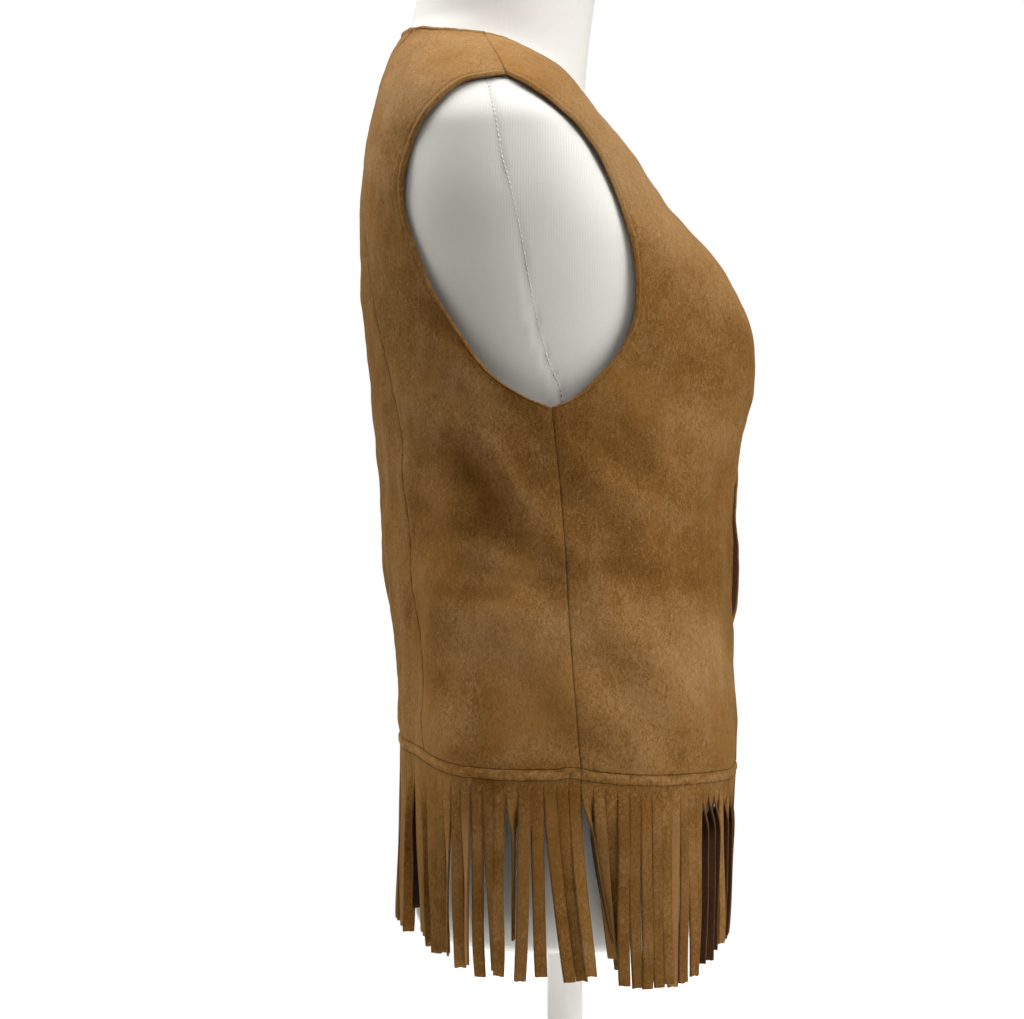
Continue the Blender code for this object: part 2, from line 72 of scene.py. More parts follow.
class Wire:
    # a socket of a material's nodes that can stand in a sum

    def __init__(self, tree, socket):
        self.tree = tree
        self.socket = socket

    def sum(self, operation, other, turned=False):
        node = self.tree.nodes.new("ShaderNodeMath")
        node.operation = operation
        pair = (other, self) if turned else (self, other)
        for socket, value in zip(node.inputs, pair):
            connect(self.tree, socket, value)
        return Wire(self.tree, node.outputs[0])

    def __add__(self, other):
        return self.sum("ADD", other)

    def __sub__(self, other):
        return self.sum("SUBTRACT", other)

    def __rsub__(self, other):
        return self.sum("SUBTRACT", other, True)

    def __mul__(self, other):
        return self.sum("MULTIPLY", other)

    __radd__ = __add__
    __rmul__ = __mul__


def connect(tree, socket, value):
    if isinstance(value, Wire):
        tree.links.new(value.socket, socket)
    elif socket.type == "RGBA":
        socket.default_value = (*value, 1.0)
    else:
        socket.default_value = value


class Nodes:
    # the nodes of a material or of the room

    def __init__(self, owner):
        owner.use_nodes = True
        self.tree = owner.node_tree

    def node(self, kind, settings=None, inputs=None, output=0):
        made = self.tree.nodes.new(kind)
        for key, value in (settings or {}).items():
            setattr(made, key, value)
        for key, value in (inputs or {}).items():
            connect(self.tree, made.inputs[key], value)
        return Wire(self.tree, made.outputs[output])


class Finish(Nodes):
    # a material whose nodes are written as sums

    def __init__(self, name, **fixed):
        self.material = bpy.data.materials.new(name)
        super().__init__(self.material)
        self.feed(**fixed)

    def place(self, stretch=(1, 1, 1)):
        spot = self.node("ShaderNodeTexCoord", output="Object")
        return self.node("ShaderNodeVectorMath", {"operation": "MULTIPLY"}, {0: spot, 1: stretch})

    def noise(self, spot, scale, detail=2.0, roughness=0.5, bend=0.0):
        return self.node("ShaderNodeTexNoise", None, {
            "Vector": spot, "Scale": scale, "Detail": detail, "Roughness": roughness, "Distortion": bend})

    def mark(self, name):
        return self.node("ShaderNodeAttribute", {"attribute_name": name}, None, "Fac")

    def mix(self, share, first, second):
        return self.node("ShaderNodeMix", {"data_type": "RGBA"}, {0: share, 6: first, 7: second}, 2)

    def between(self, value, low, high, first=0.0, last=1.0):
        return self.node("ShaderNodeMapRange", {"clamp": True}, {
            "Value": value, "From Min": low, "From Max": high, "To Min": first, "To Max": last})

    def bump(self, height, strength, distance):
        return self.node("ShaderNodeBump", None, {"Strength": strength, "Distance": distance, "Height": height})

    def feed(self, **links):
        shader = self.tree.nodes["Principled BSDF"]
        for socket, value in links.items():
            connect(self.tree, shader.inputs[socket.replace("_", " ")], value)
        return self.material


def addObject(name, data):
    thing = bpy.data.objects.new(name, data)
    bpy.context.scene.collection.objects.link(thing)
    return thing


def addCamera():
    lens = bpy.data.cameras.new("photoCamera")
    camera = addObject("photoCamera", lens)
    camera.location = photoView["place"]
    camera.rotation_euler = (math.radians(90), 0, math.radians(-90))
    lens.sensor_fit = "HORIZONTAL"
    lens.sensor_width = photoView["sensor"]
    distance = -photoView["place"][0]
    lens.lens = distance / photoView["metresPerPixel"] / photoView["pixelsWide"] * photoView["sensor"]
    lens.shift_y = (photoView["eyeRow"] - photoView["pixelsHigh"] / 2) / photoView["pixelsWide"]
    bpy.context.scene.camera = camera


def addStudio():
    for number, (place, target, width, height, watts, colour) in enumerate(studio["softboxes"]):
        lamp = bpy.data.lights.new(f"softbox{number}", "AREA")
        lamp.shape = "RECTANGLE"
        lamp.size, lamp.size_y = width, height
        lamp.energy, lamp.color = watts, colour
        box = addObject(lamp.name, lamp)
        box.location = place
        box.rotation_euler = (Vector(target) - box.location).to_track_quat("-Z", "Y").to_euler()

    world = bpy.data.worlds.new("whiteRoom")
    bpy.context.scene.world = world
    room = Nodes(world)
    seenOrLit = room.node("ShaderNodeLightPath", output="Is Camera Ray")
    lit, seen = (
        room.node("ShaderNodeBackground", None, {"Strength": strength, "Color": colour})
        for strength, colour in ((studio["roomLight"], studio["roomTint"]), (studio["backdrop"], (1, 1, 1))))
    choice = room.node("ShaderNodeMixShader", None, {0: seenOrLit, 1: lit, 2: seen})
    connect(room.tree, room.tree.nodes["World Output"].inputs["Surface"], choice)

    mesh = bpy.data.meshes.new("floor")
    turns = [math.tau * k / 128 for k in range(128)]
    radius = studio["floorRadius"]
    rim = [(radius * math.cos(a), radius * math.sin(a), 0) for a in turns]
    mesh.from_pydata(rim, [], [tuple(range(128))])
    floor = addObject("floor", mesh)
    paper = Finish("floorPaper", Base_Color=studio["floorPaper"], Roughness=0.9,
                   Emission_Color=(1, 1, 1), Emission_Strength=studio["floorGlow"])
    mesh.materials.append(paper.material)
    view = bpy.context.scene.view_settings
    view.view_transform = "Standard"
    view.look = "None"


addCamera()
addStudio()
print("camera, softboxes and floor set")

# ---- the shape of the form and of the vest on it ----

formCut = {
    "rings": (   # level, front rise, back rise, half width, front, back, middle, squareness
        (0.17, 0, 0, 0.166, -0.0965, 0.103, 0.006, 2.5), (0.2, 0, 0, 0.171, -0.1005, 0.106, 0.006, 2.5),
        (0.26, 0, 0, 0.17, -0.0995, 0.106, 0.006, 2.5), (0.31, 0, 0, 0.16, -0.0955, 0.103, 0.007, 2.5),
        (0.36, 0, 0, 0.143, -0.088, 0.0995, 0.008, 2.4), (0.41, 0, 0, 0.131, -0.0825, 0.099, 0.009, 2.3),
        (0.46, 0, 0, 0.137, -0.091, 0.11, 0.011, 2.22), (0.51, 0, 0, 0.15, -0.098, 0.1235, 0.013, 2.22),
        (0.56, 0, 0, 0.157, -0.1015, 0.1325, 0.016, 2.3), (0.605, -0.001, 0, 0.164, -0.0945, 0.138, 0.02, 2.35),
        (0.65, -0.003, 0, 0.1685, -0.0665, 0.1388, 0.027, 2.4),
        (0.69, -0.008, 0.002, 0.1655, -0.0425, 0.135, 0.033, 2.45),
        (0.715, -0.014, 0.005, 0.1525, -0.0235, 0.13, 0.039, 2.4),
        (0.735, -0.022, 0.008, 0.127, -0.015, 0.125, 0.046, 2.3),
        (0.752, -0.03, 0.011, 0.096, -0.012, 0.1185, 0.052, 2.2),
        (0.768, -0.034, 0.01, 0.064, -0.013, 0.1115, 0.056, 2.1),
        (0.785, -0.012, 0.004, 0.0605, -0.0165, 0.1075, 0.047, 2),
        (0.807, -0.004, 0, 0.0595, -0.0205, 0.1036, 0.042, 2), (0.85, 0, 0, 0.06, -0.027, 0.098, 0.036, 2),
    ),
    "bottom": 0.170,
    "top": 0.850,
    "edge": 0.006,
    "bustTurn": math.radians(33),
    "bustLevel": 0.556,
    "bustDepth": 0.026,
    "bustTurnSpread": math.radians(15),
    "bustLevelSpread": 0.045,
    "segments": 240,
    "ringGap": 0.0035,
}

vestCut = {
    "ease": (    # level, then how far the vest hangs clear at the front, side and back
        (0.15, 0.014, 0.015, 0.006), (0.26, 0.014, 0.016, 0.006), (0.31, 0.018, 0.021, 0.008),
        (0.36, 0.022, 0.028, 0.0145), (0.41, 0.028, 0.03, 0.022), (0.46, 0.021, 0.021, 0.014),
        (0.51, 0.009, 0.01, 0.0055), (0.56, 0.001, 0.006, 0.0015), (0.605, 0, 0.003, 0), (0.65, 0, 0.001, 0),
        (0.9, 0, 0, 0),
    ),
    "restGap": 0.0016,
    "wall": 0.0018,
    "seamGap": 0.0003,
    "hem": (         # degrees away from the middle front, height
        (20, 0.2795), (45, 0.28), (58, 0.2812), (72, 0.2826), (80, 0.2844), (84, 0.2862), (88.5, 0.2885),
        (92, 0.2872), (100, 0.2868), (108, 0.2877), (114, 0.29), (122, 0.2946), (130, 0.2962), (140, 0.2968),
        (180, 0.2968),
    ),
    "hemRows": 6,    # rows of a panel over which it takes up the curve of the hem
    "shoulderTip": 0.7205,
    "neckPoint": 0.768,
    "frontEdge": (   # height, place along X
        (0.2796, 0.046), (0.34, 0.0445), (0.4, 0.044), (0.46, 0.045), (0.52, 0.049), (0.57, 0.056),
        (0.62, 0.064), (0.67, 0.07), (0.71, 0.0725), (0.745, 0.072),
    ),
    "sideSeam": (    # height, place along Y
        (0.2872, -0.005), (0.35, 0), (0.453, 0.0065), (0.511, 0.0125),
    ),
    "frontArmhole": (
        (0.511, 0.0125), (0.517, -0.001), (0.531, -0.016), (0.55, -0.0315), (0.575, -0.0395), (0.605, -0.0385),
        (0.64, -0.029), (0.675, -0.012), (0.702, 0.014),
    ),
    "backArmhole": (
        (0.511, 0.0125), (0.518, 0.029), (0.532, 0.049), (0.56, 0.07), (0.6, 0.0915), (0.64, 0.104),
        (0.675, 0.1005), (0.7, 0.086), (0.7165, 0.064),
    ),
    "backSeam": (    # height, place along X
        (0.2965, 0.1335), (0.35, 0.1225), (0.415, 0.1075), (0.47, 0.1), (0.53, 0.096), (0.58, 0.087),
        (0.63, 0.071), (0.68, 0.055), (0.73, 0.043), (0.778, 0.036),
    ),
    "rows": (11, 25, 28),        # rows of a panel up to the underarm, the back neck and the shoulder
    "crowding": 0.55,            # how much closer they lie at both ends of the armhole
    "folds": (       # turn and level of both ends, half width and height in mm: the solids have these too
        (-128, 0.528, -96, 0.462, 14, 5), (-138, 0.405, -92, 0.372, 16, 5), (-128, 0.318, -104, 0.3, 20, 4),
        (-34, 0.52, -66, 0.452, 18, 4), (-50, 0.36, -74, 0.318, 22, 4.5), (124, 0.52, 94, 0.47, 15, 4.5),
        (134, 0.412, 98, 0.384, 17, 4.5), (38, 0.515, 70, 0.445, 18, 3.5), (56, 0.352, 80, 0.322, 22, 4),
        (150, 0.36, 178, 0.345, 20, 3), (-172, 0.42, -146, 0.43, 16, 3),
    ),
    "flutes": ((4, 1.2, 0.0008), (7, 0.6, 0.0013), (11, 2.1, 0.0009)),
    "fluteBottom": 0.270,
    "fluteTop": 0.420,
    "edgeCurl": (    # level, how far the open edge of the left front curls out
        (0.15, 0.0065), (0.32, 0.0065), (0.35, 0.01), (0.385, 0.015), (0.42, 0.0168), (0.465, 0.011),
        (0.5, 0.008), (0.55, 0),
    ),
    "curlTurn": math.radians(20),
    "curlReach": 0.034,
}
armRow, neckRow, allRows = vestCut["rows"]
meanRadius = 0.15        # turns a small angle round the body into a length
quarter = math.radians(90)


def smoothCurve(places, values):
    # a monotone curve through the values, level past both ends
    places, values = np.array(places, float), np.array(values, float)
    slopes = np.diff(values) / np.diff(places)
    tangents = np.zeros(len(values))
    tangents[0], tangents[-1] = slopes[0], slopes[-1]
    before, after = slopes[:-1], slopes[1:]
    same = before * after > 0
    tangents[1:-1][same] = 2 * before[same] * after[same] / (before[same] + after[same])

    def value(place):
        place = np.clip(np.asarray(place, float), places[0], places[-1])
        i = np.clip(np.searchsorted(places, place, side="right") - 1, 0, len(slopes) - 1)
        width = places[i + 1] - places[i]
        t = (place - places[i]) / width
        start = (1 + 2 * t) * (1 - t) ** 2 * values[i] + t * (1 - t) ** 2 * width * tangents[i]
        end = t * t * (3 - 2 * t) * values[i + 1] + t * t * (t - 1) * width * tangents[i + 1]
        return start + end

    return value


def lengthsAlong(points):
    return np.concatenate(([0.0], np.cumsum(np.linalg.norm(np.diff(points, axis=0), axis=-1))))


def tableCurves(rows):
    columns = list(zip(*rows))
    return [smoothCurve(columns[0], column) for column in columns[1:]]


def bell(distance, spread):
    return np.exp(-0.5 * (distance / spread) ** 2)


def ramp(value, start, end):
    t = np.clip((value - start) / (end - start), 0.0, 1.0)
    return t * t * (3 - 2 * t)


def unit(vectors):
    return vectors / np.maximum(np.linalg.norm(vectors, axis=-1, keepdims=True), 1e-12)


formCurves = tableCurves(formCut["rings"])
easeCurves = tableCurves(vestCut["ease"])
curlOut = tableCurves(vestCut["edgeCurl"])[0]
hemCurve = tableCurves(vestCut["hem"])[0]


def ringPoint(turn, level, easeFront=0.0, easeSide=0.0, easeBack=0.0):
    # the turn runs from the front towards the wearer's left
    turn, level = np.broadcast_arrays(np.asarray(turn, float), np.asarray(level, float))
    frontRise, backRise, halfWidth, front, back, middle, square = (curve(level) for curve in formCurves)
    across, ahead = np.sin(turn), np.cos(turn)
    facing = ahead > 0
    depth = np.where(facing, middle - front + easeFront, back - middle + easeBack)
    rise = np.where(facing, frontRise, backRise)
    spread = np.abs(across / (halfWidth + easeSide)) ** square + np.abs(ahead / depth) ** square
    radius = spread ** (-1 / square)
    height = level + rise * np.abs(ahead) ** 1.5
    bust = formCut["bustDepth"] * bell(height - formCut["bustLevel"], formCut["bustLevelSpread"])
    bust = bust * (bell(turn - formCut["bustTurn"], formCut["bustTurnSpread"])
                   + bell(turn + formCut["bustTurn"], formCut["bustTurnSpread"]))
    return np.stack((radius * across, middle - radius * ahead - bust, height), -1)


def wrapped(turn):
    return (np.asarray(turn, float) + math.pi) % math.tau - math.pi


def vestBase(turn, level):
    easeFront, easeSide, easeBack = (curve(level) for curve in easeCurves)
    return ringPoint(wrapped(turn), level, easeFront, easeSide, easeBack)


def outward(turn, level):
    step = 0.002
    sideways = vestBase(turn + step / meanRadius, level) - vestBase(turn - step / meanRadius, level)
    upwards = vestBase(turn, level + step) - vestBase(turn, level - step)
    return unit(np.cross(sideways, upwards))


def foldHeight(turn, level, folds):
    total = np.zeros(np.broadcast(turn, level).shape)
    for turnA, levelA, turnB, levelB, width, height in folds:
        startX, startY = math.radians(turnA) * meanRadius, levelA
        runX, runY = math.radians(turnB) * meanRadius - startX, levelB - startY
        awayX, awayY = turn * meanRadius - startX, level - startY
        along = np.clip((awayX * runX + awayY * runY) / (runX ** 2 + runY ** 2), 0.0, 1.0)
        fade = 0.35 + 0.65 * np.sin(math.pi * along)
        total += height / 1000 * fade * bell(np.hypot(awayX - runX * along, awayY - runY * along), width / 1000)
    return total


def fluteHeight(turn, level):
    total = sum(height * np.cos(count * turn + start) for count, start, height in vestCut["flutes"])
    return total * (1 - ramp(level, vestCut["fluteBottom"], vestCut["fluteTop"]))


def edgeCurl(turn, level):
    curl = curlOut(level) * (1 - ramp((turn - vestCut["curlTurn"]) * meanRadius, 0, vestCut["curlReach"]))
    return np.where(turn < 0, 0.0, curl)


def hemLevel(turn):
    return hemCurve(np.degrees(np.abs(wrapped(turn))))


def vestAway(turn, level):
    turn = wrapped(turn)
    return (vestCut["restGap"] + foldHeight(turn, level, vestCut["folds"])
            + fluteHeight(turn, level) + edgeCurl(turn, level))


def vestPoint(turn, level, more=0.0):
    away = vestAway(turn, level) + more
    return vestBase(turn, level) + outward(turn, level) * away[..., None]


def locate(height, goal, axis, low, high):
    # turn and level where the vest has this height and this place along X or Y
    level, turn = height, low
    for _ in range(10):
        start, end = low, high
        rising = vestBase(high, level)[axis] > vestBase(low, level)[axis]
        for _ in range(26):
            turn = 0.5 * (start + end)
            if (vestBase(turn, level)[axis] < goal) == rising:
                start = turn
            else:
                end = turn
        level += height - vestBase(turn, level)[2]
    return turn, level


def edgeLine(rows, axis, low, high):
    return [locate(height, place, axis, math.radians(low), math.radians(high)) for height, place in rows]


def walk(points, count, crowding=0.0):
    # a smooth line through the points, read at any row from 0 to count
    points = np.array(points, float)
    lengths = lengthsAlong(points * (meanRadius, 1))
    turns, levels = smoothCurve(lengths, points[:, 0]), smoothCurve(lengths, points[:, 1])

    def at(row):
        share = np.asarray(row, float) / count
        share = share - crowding * np.sin(math.tau * share) / math.tau
        return np.stack((turns(lengths[-1] * share), levels(lengths[-1] * share)), -1)

    return at


def joined(lower, upper, row):
    # one line after another, the first up to this row
    def at(rows):
        rows = np.asarray(rows, float)
        below, above = lower(np.minimum(rows, row)), upper(np.maximum(rows - row, 0))
        return np.where((rows <= row)[..., None], below, above)

    return at


def panelLines():
    cut, atArm, atNeck = vestCut, allRows - armRow, allRows - neckRow
    neckPoint, tip = (quarter, cut["neckPoint"]), (quarter, cut["shoulderTip"])
    sideSeam = walk(edgeLine(cut["sideSeam"], 1, 60, 130), armRow)
    frontArm = walk(edgeLine(cut["frontArmhole"], 1, 40, 130) + [tip], atArm, cut["crowding"])
    backArm = walk(edgeLine(cut["backArmhole"], 1, 50, 165) + [tip], atArm, cut["crowding"])
    backSeam = walk(edgeLine(cut["backSeam"], 0, 178, 92), neckRow)
    backNeck = walk([tuple(backSeam(neckRow)), neckPoint], atNeck)
    return {
        "frontEdge": walk(edgeLine(cut["frontEdge"], 0, 3, 88) + [neckPoint], allRows),
        "frontSide": joined(sideSeam, frontArm, armRow),
        "backSide": joined(sideSeam, backArm, armRow),
        "backSeam": backSeam,
        "backSeamAndNeck": joined(backSeam, backNeck, neckRow),
    }


lines = panelLines()
print("cut lines of the vest laid out")

# ---- meshes of closed cloth ----


def softNoise(x, y, size, seed):
    # a smooth uneven surface from -1 to 1, the same on each run
    chance = np.random.default_rng(seed)
    total = 0.0
    for _ in range(7):
        angle = chance.uniform(0, math.tau)
        wave = math.tau / (size * chance.uniform(0.7, 1.6))
        total = total + np.sin(wave * (x * math.cos(angle) + y * math.sin(angle)) + chance.uniform(0, math.tau))
    return total / 3.2


def writeMark(mesh, key, values):
    mesh.attributes.new(key, "FLOAT", "POINT").data.foreach_set("value", values.astype(np.float32))


def closedCloth(name, outer, inner, push, marks, face, reverse, keep=None):
    # a wall between an outer and an inner grid, with a rounded rim, its face and its reverse
    rows, columns = outer.shape[0] - 1, outer.shape[1] - 1
    keep = np.ones((rows, columns), bool) if keep is None else keep
    middleRow, middleColumn = rows // 2, columns // 2
    across = outer[middleRow, middleColumn + 1] - outer[middleRow, middleColumn]
    upwards = outer[middleRow + 1, middleColumn] - outer[middleRow, middleColumn]
    through = outer[middleRow, middleColumn] - inner[middleRow, middleColumn]
    if np.dot(np.cross(across, upwards), through) < 0:
        outer, inner, push, keep = (a[:, ::-1] for a in (outer, inner, push, keep))
        marks = {key: mark[:, ::-1] for key, mark in marks.items()}
    count = outer.shape[0] * outer.shape[1]
    index = np.arange(count).reshape(outer.shape[:2])
    a, b, c, d = index[:-1, :-1], index[:-1, 1:], index[1:, 1:], index[1:, :-1]
    faces = [np.stack((a, b, c, d), -1)[keep]]
    faces.append(faces[0][:, ::-1] + count)
    padded = np.pad(keep, 1)
    outerFlat, innerFlat = outer.reshape(-1, 3), inner.reshape(-1, 3)
    centre = (outerFlat[a] + outerFlat[b] + outerFlat[c] + outerFlat[d]) / 4
    away = np.zeros((count, 3))
    rims = []
    for first, second, beyond in (
        (a, b, padded[:-2, 1:-1]), (b, c, padded[1:-1, 2:]),
        (c, d, padded[2:, 1:-1]), (d, a, padded[1:-1, :-2]),
    ):
        bare = keep & ~beyond
        start, end = first[bare], second[bare]
        outside = unit(0.5 * (outerFlat[start] + outerFlat[end]) - centre[bare])
        np.add.at(away, start, outside)
        np.add.at(away, end, outside)
        rims.append(np.stack((start, end), -1))
    rims = np.concatenate(rims)
    rimFaces = np.stack((rims[:, 1], rims[:, 0], rims[:, 0] + 2 * count, rims[:, 1] + 2 * count), -1)
    underFaces = np.stack(
        (rims[:, 1] + 2 * count, rims[:, 0] + 2 * count, rims[:, 0] + count, rims[:, 1] + count), -1)
    between = 0.5 * (outerFlat + innerFlat) + unit(away) * push.reshape(-1, 1)
    points = np.concatenate((outerFlat, innerFlat, between))
    quads = np.concatenate((faces[0], faces[1], rimFaces, underFaces))
    tints = np.zeros(len(quads), np.int32)
    tints[len(faces[0]):2 * len(faces[0])] = 1
    used, fresh = np.unique(quads, return_inverse=True)
    quads = fresh.reshape(-1, 4)
    mesh = bpy.data.meshes.new(name)
    mesh.vertices.add(len(used))
    mesh.vertices.foreach_set("co", points[used].astype(np.float32).ravel())
    mesh.loops.add(quads.size)
    mesh.loops.foreach_set("vertex_index", quads.astype(np.int32).ravel())
    mesh.polygons.add(len(quads))
    mesh.polygons.foreach_set("loop_start", np.arange(0, quads.size, 4, dtype=np.int32))
    mesh.polygons.foreach_set("material_index", tints)
    mesh.update(calc_edges=True)
    mesh.shade_smooth()
    for key, mark in marks.items():
        writeMark(mesh, key, np.tile(mark.reshape(-1), 3)[used])
    mesh.materials.append(face)
    mesh.materials.append(reverse)
    return addObject(name, mesh)


def runLengths(points, axis):
    # distance along the grid from its first row or column, and from its last
    steps = np.linalg.norm(np.diff(points, axis=axis), axis=-1)
    start = np.zeros(points.shape[:2])
    if axis:
        start[:, 1:] = np.cumsum(steps, 1)
        return start, start[:, -1:] - start
    start[1:] = np.cumsum(steps, 0)
    return start, start[-1:] - start


def ringFaces(rings, around):
    # faces between rings of points, from the first ring to the last, and a cap at both ends
    index = np.arange(rings * around).reshape(rings, around)
    after = np.roll(index, -1, axis=1)
    quads = np.stack((index[:-1], after[:-1], after[1:], index[1:]), -1).reshape(-1, 4)
    return quads.tolist() + [index[0][::-1].tolist(), index[-1].tolist()]


def addMesh(name, points, faces):
    mesh = bpy.data.meshes.new(name)
    mesh.from_pydata(points, [], faces)
    mesh.shade_smooth()
    return mesh


# ---- suede ----

suedeLook = {
    # the first three colours run from dark to light suede; the light end and the dark end also serve as painted
    # light and painted shade
    "deep": (0.112, 0.048, 0.0085),
    "body": (0.197, 0.0945, 0.0242),
    "brushedAndLit": (0.324, 0.196, 0.091),
    "warm": (0.234, 0.106, 0.023),
    "strapPale": (0.300, 0.165, 0.062),
    "strapDark": (0.088, 0.044, 0.012),
    # colour of the painted shade in seam grooves and stitching troughs
    "seamDark": (0.080, 0.036, 0.010),
    "reverse": (0.118, 0.048, 0.020),
    "reverseDeep": (0.052, 0.017, 0.008),
    "cloudScale": 38.0,
    "patchScale": 11.0,
    "fibreScale": 360.0,
    "grainScale": 1150.0,
    "sheen": 0.10,
    "sheenTint": (1.0, 0.72, 0.36),
}


def suedeFace(name, shade=0.0, strapTones=False):
    look = suedeLook
    suede = Finish(name, Roughness=0.93, Sheen_Weight=look["sheen"], Sheen_Roughness=0.45,
                   Sheen_Tint=look["sheenTint"], Specular_IOR_Level=0.04)
    spot = suede.place()
    clouds = suede.noise(spot, look["cloudScale"], 4.0, 0.6, 0.4)
    patches = suede.noise(spot, look["patchScale"], 2.0, 0.5, 0.6)
    fibres = suede.noise(suede.place((1, 1, 0.6)), look["fibreScale"], 3.0, 0.65, 2.0)
    grain = suede.noise(spot, look["grainScale"], 2.0, 0.7)
    # painted light and shade of the folds; on the fringe, random tone along the straps
    lift = suede.mark("foldLightAndTone")
    # the mix value blends random tone with painted light and shade: fold light and the light on faces turned
    # upwards push it lighter
    napAndLight = (0.5 + (clouds - 0.5) * 0.46 + (patches - 0.5) * 0.34 + (fibres - 0.5) * 1.20
           + (grain - 0.5) * 0.60 + lift * 0.20 + suede.mark("paintedTopLight") * 0.20 - shade)
    base = suede.mix(suede.between(napAndLight, 0.15, 0.55), look["deep"], look["body"])
    base = suede.mix(suede.between(napAndLight, 0.5, 1.05), base, look["brushedAndLit"])
    warmth = suede.between(suede.noise(suede.place((1, 1, 0.7)), 17.0, 2.0, 0.5, 0.8), 0.52, 0.74, 0.0, 0.55)
    base = suede.mix(warmth, base, look["warm"])
    if strapTones:
        # per-strap tone, partly random colour and partly painted light and shade on the straps
        tone = suede.mark("strapToneAndShade")
        base = suede.mix(suede.between(tone, 0.0, 1.0, 0.0, 0.60), base, look["strapPale"])
        base = suede.mix(suede.between(tone, 0.0, -1.0, 0.0, 0.60), base, look["strapDark"])
    base = suede.mix(suede.mark("seamShade"), base, look["seamDark"])
    height = fibres * 0.8 + grain * 0.5 + clouds * 0.4
    return suede.feed(Base_Color=base, Normal=suede.bump(height, 0.55, 0.0006),
                      Roughness=suede.between(napAndLight, 0.2, 0.9, 0.96, 0.84))


def suedeReverse(name, shade=1.0):
    look = suedeLook
    back = Finish(name, Roughness=0.95, Sheen_Weight=0.05, Specular_IOR_Level=0.1)
    weave = back.noise(back.place((1, 1, 0.35)), 900.0, 2.0, 0.6)
    clouds = back.noise(back.place(), 30.0, 3.0)
    base = back.mix(back.between(clouds * 0.6 + weave * 0.6, 0.35, 0.85),
                    tuple(shade * c for c in look["reverseDeep"]), tuple(shade * c for c in look["reverse"]))
    return back.feed(Base_Color=base, Normal=back.bump(weave, 0.4, 0.0004))


tanSuede = suedeFace("tanSuede")
# the fringe is the same suede painted 0.05 darker as shade
fringeSuede = suedeFace("fringeSuede", 0.05, True)
brownReverse = suedeReverse("brownReverse")
# the fringe's reverse is the same reverse darkened to 0.42 as painted shade
shadedStrapReverse = suedeReverse("shadedStrapReverse", 0.42)

# ---- panels ----

panelLook = {
    "rowsPerRow": 8,
    "endRows": (0, 0.03, 0.07, 0.12, 0.18, 0.25, 0.33, 0.42, 0.52, 0.63, 0.75, 0.87),
    "edgeColumns": (0, 0.4, 0.8, 1.3, 1.9, 2.6, 3.3, 4.0, 4.7, 5.4, 6.1, 6.8, 7.5, 8.3, 9.2, 10.4, 12, 14),
    "middleGap": 0.0027,
    "rimShare": 0.34,
    "leastGap": 0.0004,
    "deepestDip": 0.0009,
    "seamLine": 0.36,             # how dark the painted shade in a sewn seam's groove and in the trough of a row of topstitching is
    "stitchLine": 0.16,
    "stitchInset": 0.0046,
    "creases": (      # smaller folds: turn and level of both ends, half width and height in mm
        (-127, 0.6, -97, 0.52, 5, -1), (-118, 0.56, -99, 0.5, 7.5, 1.3), (-104, 0.505, -93, 0.455, 6, -1.2),
        (-131, 0.47, -112, 0.444, 7, 1.2), (-116, 0.425, -91, 0.404, 6, 1.6),
        (-122, 0.396, -97, 0.388, 5, -1.4), (-112, 0.372, -92, 0.35, 8, 1.3), (-126, 0.345, -106, 0.326, 7, -1),
        (-22, 0.512, -26, 0.478, 15, 1.7), (-17, 0.35, -17, 0.285, 12, 1.8), (-110, 0.524, -95.6, 0.43, 8, 2.8),
        (-112, 0.502, -99, 0.425, 9, -2.6), (-84, 0.498, -66, 0.47, 7, -1.2), (-80, 0.462, -52, 0.43, 7, 1.2),
        (-60, 0.5, -30, 0.486, 8, 1), (-77, 0.412, -48, 0.396, 6.5, -1.2), (-66, 0.38, -40, 0.352, 8, 1.2),
        (-80, 0.352, -62, 0.322, 7, -1), (-44, 0.33, -24, 0.345, 8, 1), (126, 0.596, 98, 0.515, 5.5, -1),
        (119, 0.548, 101, 0.492, 7.5, 1.2), (130, 0.462, 110, 0.44, 7, 1.2), (118, 0.42, 92, 0.398, 6, 1.6),
        (125, 0.388, 99, 0.38, 5.5, -1.3), (110, 0.362, 90, 0.34, 8, 1.2), (82, 0.492, 64, 0.462, 7.5, -1.2),
        (78, 0.452, 50, 0.424, 7, 1.2), (74, 0.405, 46, 0.388, 6.5, -1.2), (64, 0.372, 38, 0.35, 8, 1.2),
        (46, 0.334, 26, 0.318, 8, 1), (152, 0.452, 176, 0.44, 7, 1.2), (-176, 0.405, -150, 0.392, 6.5, -1.2),
        (160, 0.398, 182, 0.388, 6, 1), (148, 0.345, 172, 0.33, 8, 1), (-170, 0.34, -146, 0.352, 8, -1),
        (158, 0.64, 180, 0.655, 10, 0.8), (-179, 0.6, -154, 0.585, 9, 0.8), (-150, 0.69, -124, 0.655, 7, 0.9),
        (150, 0.685, 126, 0.65, 7, 0.9),
    ),
}


def softness(turn, level):
    # gentle unevenness of hand-cut cloth, more where it hangs free
    free = ramp(level, 0.60, 0.47)
    x = turn * meanRadius
    return (0.00045 + 0.0011 * free) * softNoise(x, level, 0.050, 3) + 0.00022 * softNoise(x, level, 0.016, 8)


def creaseRelief(turn, level):
    # the creases, and with the softness how far the cloth stands off, never into the form
    creases = foldHeight(wrapped(turn), level, panelLook["creases"])
    more = np.maximum(creases + softness(wrapped(turn), level), panelLook["leastGap"] - vestAway(turn, level))
    return creases, more


def edgeRoll(distance):
    # the turned edge: rolls in at the rim, a ridge, then the trough of its stitching
    mm = distance * 1000
    return (-0.55 * bell(mm, 0.9) + 0.42 * bell(mm - 2.2, 1.1) - 0.30 * bell(mm - 4.6, 0.9)
            + 0.14 * bell(mm - 7.2, 1.8)) / 1000


